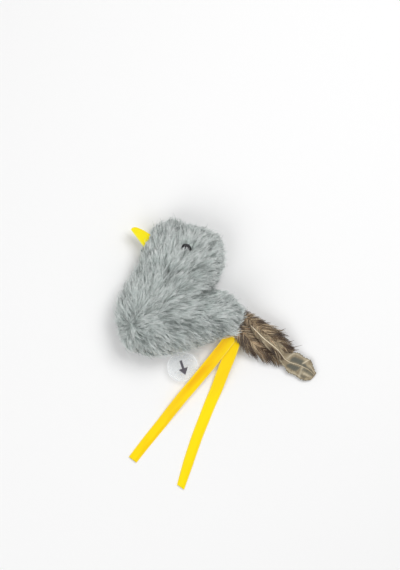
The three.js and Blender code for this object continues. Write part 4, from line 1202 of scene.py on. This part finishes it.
def feather_rise(name, away):
    """Each feather lies a step above the next. The barred one comes up over the upper one's fluff."""
    layer = FEATHERS[name][0]
    step = layer * FEATHER_STEP * smooth_step(away, -0.02, 0.1)
    if layer == 0:
        step = step + SHAFT_RISE * smooth_step(away, 0.05, 0.2) * (1 - smooth_step(away, 0.5, 0.75))
    return step


print("the tail is", round(TAIL_LENGTH / MM, 1), "mm long")

# %% [markdown]
# The down of these feathers is mottled: nearly black, grey brown, buff and a little chestnut. One ramp
# over the tone of a tuft holds all of these, so that neighbours differ but a tuft is of one piece. The
# barbs' tips are dark again.

# %% Brown down
down = Finish("brown_down", Roughness=0.75, Sheen_Weight=0.15)
brown = down.node("ValToRGB", {"stops": [
    (0.0, (0.028, 0.014, 0.006)), (0.38, (0.088, 0.048, 0.022)), (0.52, (0.27, 0.185, 0.095)),
    (0.7, (0.74, 0.60, 0.40)), (0.84, (0.70, 0.55, 0.36)), (0.9, (0.50, 0.25, 0.12)),
    (1.0, (0.42, 0.18, 0.09))]}, {"Fac": down.attribute("tone")})
tips = down.attribute("along").ridge(0.55, 1.0) * 0.55
down.wear(Base_Color=down.mix(tips, brown, (0.11, 0.062, 0.03)))
print("down has", len(down.tree.nodes), "nodes")

# %% [markdown]
# Loose barbs are made like the hairs of the fur. Each leaves the shaft at a slant, bends out to the
# feather's edge and is drawn into a tuft. Where the tail lies over the legs' roots and the body's rim,
# the fluff is lifted on top of them. In the photograph a few barbs stand out alone, and those are
# placed one by one, because chance wouldn't put them there.

# %% Loose barbs
BARB_STEPS = 7
BARB_COUNTS = {"tail_feather_upper": 2700, "tail_feather_barred": 900, "tail_feather_lower": 2500}
LOOSE_SPAN = (0.13, 0.64)
REACH_RANGE = (0.35, 1.1)
LONG_SHARE, LONG_FROM = 0.03, 0.4
LONGER_TIMES, LONGER_BY = 1.35, 0.8 * MM
BARB_LEAN_ROOT, BARB_LEAN_MORE = 1.0, 1.3
REACH_POWER = 0.85
BARB_CURL = 0.7 * MM
BARB_RUFFLE = 0.5 * MM
BARB_ARCH = 0.5 * MM
LAYER_SPREAD = 0.3 * MM
UNDER_VANE = 0.7 * MM
OVER_VANE = 1.6 * MM
LEG_ROOTS, LEG_ROOTS_HEIGHT = [[240, 336, 6.5 * MM, 1]], 15.2 * MM
RIM, RIM_HEIGHT = [[239, 328.5, 3.4 * MM, 1]], 17.8 * MM
TUFT_SHARE = 0.17
TUFT_DRAW = 0.72
TUFT_REACH = 3 * MM
TUFT_TONE, BARB_TONE = 0.5, 0.5
TONE_LIFT = 0.92
DARK_DOWN = [
    [272.6, 353, 2.4 * MM, 0.7], [282.2, 334, 3 * MM, 0.75], [292, 347, 2.6 * MM, 0.75],
    [247, 343.5, 2.4 * MM, 0.6], [241.4, 328, 2.6 * MM, 0.8], [252, 355, 2.6 * MM, 0.6],
    [262, 324.5, 2.4 * MM, 0.55], [284, 355, 2.2 * MM, 0.75], [262, 342, 1.8 * MM, 0.5],
    [245, 313, 1.6 * MM, 0.7], [270, 359, 2 * MM, 0.5],
]
WISPS = [
    [[289, 348.6], [303.6, 345.3]], [[290, 351.6], [300.2, 349.9]], [[286, 343.4], [294.8, 340.3]],
    [[277, 333], [286.5, 328.4]],
]
WISP_HAIRS = 4
WISP_SPREAD = 0.45 * MM
WISP_RISE = 0.4 * MM
WISP_TONE = 0.4


def placed_wisps(name, rng):
    """A few hairs each from one pixel to another, start + (end - start) * t, converging outwards."""
    ends = on_side(np.repeat(WISPS, WISP_HAIRS, axis=0))
    ends[:, 0] = ends[:, 0] + rng.normal(0, WISP_SPREAD, ends[:, 0].shape)
    t = np.linspace(0, 1, BARB_STEPS)[:, None]
    flat = ends[:, :1] + (ends[:, 1:] - ends[:, :1]) * t - TAIL_ROOT
    away = flat @ TAIL_WAY / TAIL_LENGTH
    return tail_place(away, flat @ TAIL_SIDE, feather_rise(name, away) + WISP_RISE * t[:, 0])


def loose_barbs(name, count, seed):
    """Barb paths and tones. A barb ends at (end, +-reach). It leaves the shaft at end - lean * reach and
    runs out as t^power, with a lean that grows towards the tip, so that the barbs fan at the root. Some
    run longer. The barred feather's barbs lie under its vane, and past its middle they come up beside
    it. The lower one's are lifted over the legs' roots and the body's rim."""
    rng = np.random.default_rng(seed)
    layer, vane_width, rows = FEATHERS[name]
    middle_at, half_at = across_line(rows, vane_width)
    low, top = (rows[0][0], rows[-1][0]) if layer else LOOSE_SPAN
    end = rng.uniform(low, top, count)
    side = rng.choice([-1.0, 1.0], count)
    reach = half_at(end) * rng.uniform(*REACH_RANGE, count)
    longer = (rng.random(count) < LONG_SHARE) & (side > 0) & (end > LONG_FROM)
    reach = np.where(longer, reach * LONGER_TIMES + LONGER_BY, reach)
    lean = BARB_LEAN_ROOT + BARB_LEAN_MORE * smooth_step(end, 0.15, 0.55)
    start = np.maximum(end - lean * reach / TAIL_LENGTH, -0.02 if layer > 0 else -0.05)
    t = np.linspace(0, 1, BARB_STEPS)
    away = start[:, None] + (end - start)[:, None] * t
    curl = rng.normal(0, BARB_CURL, (count, 1)) * t**2
    aside = middle_at(away) + side[:, None] * reach[:, None] * t**REACH_POWER + curl
    ruffle = rng.normal(0, BARB_RUFFLE, (count, 1)) * t + BARB_ARCH * np.sin(np.pi * t)
    ruffle = ruffle + rng.uniform(-LAYER_SPREAD, LAYER_SPREAD, (count, 1))
    if layer == 0:
        ruffle = ruffle + OVER_VANE * t * ((end > 0.5) & (side < 0))[:, None] - UNDER_VANE
    paths = tail_place(away, aside, feather_rise(name, away) + ruffle)
    if layer < 0:
        lifted = LEG_ROOTS_HEIGHT + (RIM_HEIGHT - LEG_ROOTS_HEIGHT) * near(paths, RIM)
        paths[..., 2] += (lifted - paths[..., 2] + ruffle) * near(paths, LEG_ROOTS + RIM)
    paths, nearest = drawn_together(paths, int(TUFT_SHARE * count), TUFT_DRAW, TUFT_REACH, rng)
    paths[..., 2] = np.maximum(paths[..., 2], FLOOR_CLEARANCE)
    tones = TUFT_TONE * rng.random(count)[nearest] + BARB_TONE * rng.random(count)
    tones = tones**TONE_LIFT * (1 - near(paths[:, BARB_STEPS // 2 + 1], DARK_DOWN))
    if layer > 0:
        wisps = placed_wisps(name, rng)
        paths, tones = np.concatenate([paths, wisps]), np.append(tones, [WISP_TONE] * len(wisps))
    return paths, tones


print("barbs:", BARB_COUNTS)

# %% [markdown]
# The shafts are horn: cream, glossy and browner towards the tip. A curve with a round bevel would do,
# but the line and its thickness are arrays already, so each shaft is a tapered tube along its feather's
# line. Behind the seam the three lie side by side, bound together. The barred feather's shaft isn't in
# the middle of its vane, so it has a line of its own.

# %% Shafts, and the pieces of the three feathers
SHAFT_LINE = [
    [0.132, 0.05], [0.333, -0.055], [0.492, -0.06], [0.58, -0.14], [0.63, -0.19], [0.686, -0.16],
    [0.758, -0.03], [0.82, 0.05], [0.893, 0.1], [0.97, 0.06],
]
SHAFT_RADII = {"tail_feather_upper": 0.22 * MM, "tail_feather_barred": 0.28 * MM,
               "tail_feather_lower": 0.22 * MM}
SHAFT_ROWS = 60
SHAFT_COLUMNS = 10
SHAFT_OVER = 0.15 * MM
SHAFT_SUNK = 1 * MM
SHAFT_TAPER = 0.78
QUILL_BACK = -2 * MM
QUILL_PITCH = 1.6 * MM
VANE_ARCH = 0.9 * MM
BARB_RADIUS = 0.15 * MM
BARB_TAPER = 0.5
BARB_SEED = 500
HORN_SCALE = 900.0

quill = Finish("cream_quill")
horn = quill.attribute("along")
quill.wear(Base_Color=quill.mix(horn.ridge(0.5, 1.0), (0.94, 0.84, 0.64), (0.80, 0.68, 0.48)),
           Roughness=0.3 + quill.noise(HORN_SCALE) * 0.2)


def barred_shaft(away):
    """How far aside the barred feather's shaft is, from the table by the smooth line through it."""
    smooth = smooth_path(SHAFT_LINE, LINE_POINTS)
    return np.interp(away, smooth[:, 0], smooth[:, 1]) * FEATHERS["tail_feather_barred"][1]


def shaft_tube(name):
    """Rings around a line: line + r * (cos a * across + sin a * up), with r falling towards the tip.
    The line blends from the bound quills to the shaft, on top of the vane or sunk into the fluff."""
    layer, vane_width, rows = FEATHERS[name]
    middle_at, half_at = across_line(rows, vane_width)
    shaft_at = middle_at if layer else barred_shaft
    away = np.linspace(QUILL_BACK / TAIL_LENGTH, rows[-1][0] - 0.01, SHAFT_ROWS)
    blend = smooth_step(away, 0.05, 0.14)
    aside = shaft_at(away) * blend + layer * QUILL_PITCH * (1 - blend)
    if layer:
        over = (SHAFT_OVER - SHAFT_SUNK) * blend
    else:
        arch = VANE_ARCH * half_at(away) / (vane_width / 2)
        over = SHAFT_OVER * blend + arch * smooth_step(away, 0.14, 0.3)
    line = tail_place(away, aside, feather_rise(name, away) + over)
    line[:, 2] = line[:, 2] * blend + TAIL_HEIGHT * (1 - blend)
    thick = SHAFT_RADII[name] * (1 - SHAFT_TAPER * smooth_step(away, 0.1, rows[-1][0]))
    turn = np.linspace(0, 2 * np.pi, SHAFT_COLUMNS, endpoint=False)
    across, up = sides_of(line)
    ring = np.cos(turn)[:, None] * across[:, None] + np.sin(turn)[:, None] * up[:, None]
    return line[:, None] + thick[:, None, None] * ring


run = np.broadcast_to(np.linspace(0, 1, SHAFT_ROWS)[:, None], (SHAFT_ROWS, SHAFT_COLUMNS))
for index, (name, count) in enumerate(BARB_COUNTS.items()):
    paths, tones = loose_barbs(name, count, BARB_SEED + index)
    ups = np.tile([0.0, 0.0, 1.0], (len(paths), 1))
    mesh = hair_mesh(f"{name}_barbs", paths, BARB_RADIUS, BARB_TAPER, ups, tones)
    new_piece(mesh, down, body="tail", replaces=[name])
    new_piece(grid_mesh(f"{name}_shaft", shaft_tube(name), along=run), quill, body="tail")

# %% [markdown]
# The barred feather's vane is a thin sheet, arched a little from edge to edge, with a ragged edge. Its
# barbs are hooked together and show only as fine lines, so the sheet is one closed surface and the
# lines are in its material.

# %% The barred vane's sheet
VANE_ROWS = 150
VANE_COLUMNS = 33
VANE_THICKNESS = 0.12 * MM
VANE_SEED = 7
RAGGED_SHARE = 0.16
WAVER = 0.35 * MM
WAVER_TURNS = 40


def vane_rings():
    """Rows of a flat section. v runs from -1 to 1: aside = shaft + v * (way to the vane's edge), and
    z = rise + arch * (1 - v^2) * half / half_max +- t / 2. With them come away and v at each point."""
    rng = np.random.default_rng(VANE_SEED)
    vane_width, rows = FEATHERS["tail_feather_barred"][1:]
    middle_at, half_at = across_line(rows, vane_width)
    v = np.sin(np.linspace(-np.pi / 2, np.pi / 2, VANE_COLUMNS))
    away = np.linspace(rows[0][0] + 0.01, rows[-1][0] - 0.012, VANE_ROWS)[:, None]
    notch = np.interp(np.arange(VANE_ROWS), np.arange(0, VANE_ROWS, 2), rng.random((VANE_ROWS + 1) // 2))
    ragged = 1 - RAGGED_SHARE * notch[:, None] * smooth_step(np.abs(v), 0.7, 1)
    half = half_at(away) * ragged
    waver = WAVER * np.sin(away * WAVER_TURNS) * np.abs(v)
    middle, shaft = middle_at(away), barred_shaft(away)
    wide = np.where(v > 0, middle + half - shaft, shaft - middle + half)
    aside = shaft + v * wide + waver
    rise = feather_rise("tail_feather_barred", away) + VANE_ARCH * (1 - v**2) * half / (vane_width / 2)
    thin = np.sqrt(np.clip(1 - np.abs(v) ** 10, 0.02, 1)) * VANE_THICKNESS / 2
    away = np.broadcast_to(away, aside.shape)
    top, foot = tail_place(away, aside, rise + thin), tail_place(away, aside, rise - thin)
    both = np.broadcast_to(np.append(v, v[::-1]), (VANE_ROWS, 2 * VANE_COLUMNS))
    return np.concatenate([top, foot[:, ::-1]], 1), np.concatenate([away, away], 1), both


rings, away, v = vane_rings()
print("the vane has", rings.shape[0], "rows of", rings.shape[1], "points")

# %% [markdown]
# The pattern has two dark patches beside the shaft, pale bands across, and a streaked tip. A painted
# image could hold it, but it would be one more file and blur up close. Here each mark is a band along
# the vane times a band across it, with soft ends, and the sums are attributes of the mesh's points.

# %% The barred vane's pattern
DARK_MARKS = [
    (1, -0.03, (0.665, 0.775, 0.014), (0.08, 0.56, 0.07)),
    (1, 0.03, (0.69, 0.805, 0.014), (-0.58, -0.12, 0.07)),
    (0.8, 0, (0.82, 0.945, 0.012), (-0.3, -0.03, 0.06)),
    (0.8, 0, (0.77, 0.94, 0.012), (0.06, 0.22, 0.04)),
    (0.6, 0, (0.84, 0.9, 0.012), (-0.8, -0.56, 0.08)),
    (0.6, 0, (0.8, 0.83, 0.01), (0.1, 0.34, 0.06)),
    (0.5, 0, (0.45, 1.0, 0.05), (0.92, 1.2, 0.03)),
    (0.5, 0, (0.45, 1.0, 0.05), (-1.2, -0.92, 0.03)),
]
PALE_MARKS = [
    (1, -0.04, (0.775, 0.788, 0.006), (0.16, 2.0, 0.05)),
    (0.55, -0.04, (0.80, 0.822, 0.012), (-2.0, 0.0, 0.02)),
    (0.55, 0, (0.62, 0.8, 0.03), (0.74, 0.86, 0.08)),
    (0.55, 0, (0.3, 0.86, 0.03), (-0.86, -0.74, 0.08)),
    (0.8, 0, (0.86, 0.95, 0.02), (0.4, 0.52, 0.06)),
    (0.6, 0, (0.85, 0.93, 0.02), (-0.5, -0.36, 0.06)),
]
BARB_PITCH = 1.3
BARB_LEAN = 2.1
LEAN_WIDTH = 5
VANE_DEPTH = 0.12 * MM
MOTTLE_SCALE = 420.0


def band(x, low, high, soft):
    """1 between low and high, with soft steps at both ends."""
    return smooth_step(x, low - soft, low + soft) * (1 - smooth_step(x, high - soft, high + soft))


def marked(marks):
    """The sum of strength * band(away + slant * |v|) * band(v) over the marks."""
    total = np.zeros(v.shape)
    for strength, slant, along, across in marks:
        total += strength * band(away + slant * np.abs(v), *along) * band(v, *across)
    return total


barred = Finish("barred_vane", Roughness=0.6, Sheen_Weight=0.15)
lines = (barred.attribute("lean") * (2 * math.pi / BARB_PITCH)).maths("SINE") * 0.5 + 0.5
mottle = barred.noise(MOTTLE_SCALE, 3.0)
tan = barred.mix(mottle.ridge(0.35, 0.7), (0.27, 0.215, 0.13), (0.52, 0.44, 0.29))
tan = barred.mix(lines * 0.7, tan, (0.13, 0.095, 0.055))
tan = barred.mix(barred.attribute("pale").clamped() * 0.75, tan, (0.74, 0.66, 0.49))
dark_grey = barred.mix(lines * 0.5, (0.05, 0.052, 0.038), (0.16, 0.16, 0.125))
barred.wear(Base_Color=barred.mix(barred.attribute("dark").clamped() * 0.93, tan, dark_grey),
            Normal=barred.bump(lines, VANE_DEPTH, 0.6))

neck = band(away - 0.03 * v**2, 0.63, 0.65, 0.013) * band(v, 0.05, 0.9, 0.1)
mesh = grid_mesh(
    "tail_feather_barred_vane", rings, dark=marked(DARK_MARKS), pale=marked(PALE_MARKS) + neck * 0.55,
    lean=away * TAIL_LENGTH / MM - BARB_LEAN * LEAN_WIDTH * np.abs(v),
)
new_piece(mesh, barred, body="tail")

# %% [markdown]
# What the fur hides still has a finish, because somebody may open the toy. Each CAD node whose shape is
# right keeps its mesh and takes a material of its own: brushed steel, brass, moulded plastic, a sheathed
# lead. Two kinds of finish cover them all, and each varies a little over its surface, as real ones do.

# %% Finishes for what is inside
GRAIN_DEPTH = 0.05 * MM
FILLING_DEPTH = 0.5 * MM
BRUSHED_DEPTH = 0.02 * MM
BRUSHED_SCALES = (0.04, 1.0, 1.0)


def grained(name, low, high, scale, roughness, depth=GRAIN_DEPTH):
    """A finish whose colour, roughness and height follow one noise."""
    finish = Finish(name)
    grain = finish.noise(scale, 3.0)
    return finish.wear(
        Base_Color=finish.mix(grain.ridge(0.25, 0.75), low, high),
        Roughness=roughness - 0.075 + grain * 0.15,
        Normal=finish.bump(grain, depth, 0.4),
    )


def brushed(name, low, high, scale, roughness):
    """A metal with fine lines along X: the noise is drawn out by a small scale there."""
    finish = Finish(name, Metallic=1.0)
    lines = finish.noise(scale, 3.0, finish.stretched(finish.place(), BRUSHED_SCALES))
    return finish.wear(
        Base_Color=finish.mix(lines, low, high),
        Roughness=roughness - 0.08 + lines * 0.16,
        Normal=finish.bump(lines, BRUSHED_DEPTH, 0.3),
    )


INSIDE = {
    "fibre_filling": grained("polyester_fibre", (0.72, 0.72, 0.70), (0.9, 0.9, 0.89), 700.0, 0.9,
                             depth=FILLING_DEPTH),
    "seam_thread": grained("sewing_thread", (0.10, 0.11, 0.11), (0.22, 0.24, 0.23), 3000.0, 0.8),
    "tail_binding": grained("waxed_thread", (0.12, 0.10, 0.08), (0.30, 0.26, 0.20), 2400.0, 0.6),
    "eye_washer": grained("washer_plastic", (0.72, 0.72, 0.70), (0.82, 0.82, 0.80), 500.0, 0.45),
    "case": grained("case_plastic", (0.74, 0.74, 0.72), (0.83, 0.83, 0.81), 400.0, 0.42),
    "case_screw": brushed("zinc_steel", (0.52, 0.53, 0.55), (0.70, 0.71, 0.73), 2500.0, 0.32),
    "button_cell": brushed("cell_steel", (0.60, 0.61, 0.62), (0.80, 0.80, 0.81), 1800.0, 0.22),
    "battery_terminal": brushed("nickel_strip", (0.62, 0.59, 0.53), (0.78, 0.75, 0.68), 2200.0, 0.3),
    "cell_link": brushed("link_strip", (0.62, 0.59, 0.53), (0.78, 0.75, 0.68), 2200.0, 0.3),
    "circuit_board": grained("board_laminate", (0.02, 0.13, 0.06), (0.05, 0.22, 0.10), 1400.0, 0.4),
    "sound_chip": grained("chip_resin", (0.012, 0.012, 0.013), (0.035, 0.035, 0.037), 1600.0, 0.35),
    "capacitor": grained("capacitor_sleeve", (0.02, 0.03, 0.07), (0.04, 0.06, 0.13), 900.0, 0.35),
    "piezo_plate": brushed("piezo_brass", (0.62, 0.44, 0.16), (0.82, 0.62, 0.28), 1500.0, 0.28),
    "piezo_ceramic": grained("piezo_ceramic", (0.70, 0.68, 0.62), (0.82, 0.80, 0.75), 1200.0, 0.5),
    "sounder_lead_red": grained("red_sheath", (0.42, 0.01, 0.01), (0.62, 0.03, 0.02), 1200.0, 0.45),
    "sounder_lead_black": grained("black_sheath", (0.012, 0.012, 0.012), (0.04, 0.04, 0.04), 1200.0,
                                  0.45),
    "motion_switch_can": brushed("can_brass", (0.58, 0.43, 0.18), (0.78, 0.60, 0.30), 1500.0, 0.3),
    "motion_switch_cap": grained("cap_resin", (0.012, 0.012, 0.013), (0.05, 0.05, 0.05), 900.0, 0.4),
    "motion_switch_ball": brushed("ball_steel", (0.66, 0.66, 0.67), (0.82, 0.82, 0.83), 1200.0, 0.15),
}
print(len(INSIDE), "finishes for what is inside")

# %% [markdown]
# The pull tab is clear film with a round grip. Film shows by its cut edge, which gathers light, and by a
# faint haze, so the material is nearly see-through. The light on the cut edge is a painted highlight: a
# thin ring at the grip's rim, near white and less clear. Its print says which way to pull: here a plain
# arrow, drawn by arithmetic on the place along the tab and across it. A Mapping node of the Texture kind
# takes the pattern to the grip's middle and turns it along the tab.

# %% The film of the pull tab
GRIP_MIDDLE = on_side([182.8, 367.9])
GRIP_RADIUS = 9.3 * MM
RIM_INSIDE = (GRIP_RADIUS - 0.5 * MM, GRIP_RADIUS - 0.2 * MM)
RIM_OUTSIDE = (GRIP_RADIUS + 0.3 * MM, GRIP_RADIUS + 0.5 * MM)
TAB_HEADING = math.radians(-71.4)
HEAD_FOOT = 0.6 * MM
HEAD_TIP = 4.8 * MM
HEAD_HALF = 2.9 * MM
ARROW_TAIL = -4.4 * MM
STEM_HALF = 0.75 * MM
SOFT = 0.08 * MM
HAZE_SCALE = 160.0

film = Finish("clear_film", IOR=1.45)
haze = film.noise(HAZE_SCALE)
turned = film.node("Mapping", {"vector_type": "TEXTURE"}, {
    "Vector": film.place(), "Location": (*GRIP_MIDDLE, 0), "Rotation": (0, 0, TAB_HEADING)})
ahead, aside = film.part(turned, "X"), film.part(turned, "Y").maths("ABSOLUTE")
radius = (ahead * ahead + aside * aside).maths("SQRT")
# Painted highlight: a near-white, less clear ring at the grip's rim.
rim = radius.ridge(*RIM_INSIDE) * (1 - radius.ridge(*RIM_OUTSIDE))
taper = (HEAD_TIP - ahead) * (HEAD_HALF / (HEAD_TIP - HEAD_FOOT)) - aside
head = taper.ridge(-SOFT, SOFT) * ahead.ridge(HEAD_FOOT - SOFT, HEAD_FOOT + SOFT)
stem = (STEM_HALF - aside).ridge(-SOFT, SOFT) * ahead.ridge(ARROW_TAIL - SOFT, ARROW_TAIL + SOFT)
stem = stem * (1 - ahead.ridge(HEAD_FOOT, HEAD_FOOT + 2 * SOFT))
ink = (head + stem).clamped() * (0.9 + haze * 0.1)
clear = film.mix(haze, (0.84, 0.89, 0.92), (0.94, 0.97, 0.98))
film.wear(
    Base_Color=film.mix(ink, film.mix(rim, clear, (0.98, 0.99, 1.0)), (0.045, 0.035, 0.05)),
    Alpha=(0.2 + haze * 0.12 + rim * 0.5 + ink * 0.65).clamped(),
    Roughness=0.1 + haze * 0.12 + ink * 0.3,
)
INSIDE["pull_tab"] = film
print("the arrow is", round((HEAD_TIP - ARROW_TAIL) / MM, 1), "mm long")

# %% [markdown]
# A finish is kept under the first words of its nodes' names, so the three screws share one, and so do
# the three cells. Where two keys fit a name, the longer one is meant. Nodes that a new piece replaces
# are hidden, and are passed over.

# %% Every CAD node that is kept wears a finish
worn = 0
for node in sorted(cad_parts):
    shown = bpy.data.objects.get(node)
    if shown is None or shown.hide_render:
        continue
    key = max((key for key in INSIDE if key in node), key=len, default=None)
    if key is None:
        print("no finish for", node)
        continue
    for slot in shown.material_slots:
        slot.material = INSIDE[key].material
    worn += 1
print(worn, "CAD nodes wear finishes")

# %% [markdown]
# The floor is a plain pale sheet that fades out around the toy, so that no edge of it shows from low
# down. It is stage, and not part of the toy.

# %% The floor
FLOOR_SIZE = 1.6
FLOOR_COLOUR = (0.93, 0.93, 0.93, 1)
FLOOR_FADE = (0.26, 0.6)
corners = np.array([[-1, -1, 0], [1, -1, 0], [1, 1, 0], [-1, 1, 0]]) * FLOOR_SIZE / 2
floor_mesh = bpy.data.meshes.new("floor")
floor_mesh.from_pydata(corners.tolist(), [], [[0, 1, 2, 3]])
pale = Finish("pale_floor", Roughness=0.9, Base_Color=FLOOR_COLOUR)
from_middle = pale.node("VectorMath", {"operation": "LENGTH"}, {0: pale.place()}, "Value")
pale.wear(Alpha=1 - from_middle.ridge(*FLOOR_FADE))
floor_mesh.materials.append(pale.material)
floor = bpy.data.objects.new("floor", floor_mesh)
scene.collection.objects.link(floor)
print("the floor is", FLOOR_SIZE, "m wide and fades out from", FLOOR_FADE[0], "m")

# %% [markdown] Dressing the toy is meant to keep its size: pile may stand a little proud of the solids,
# and nothing else does.
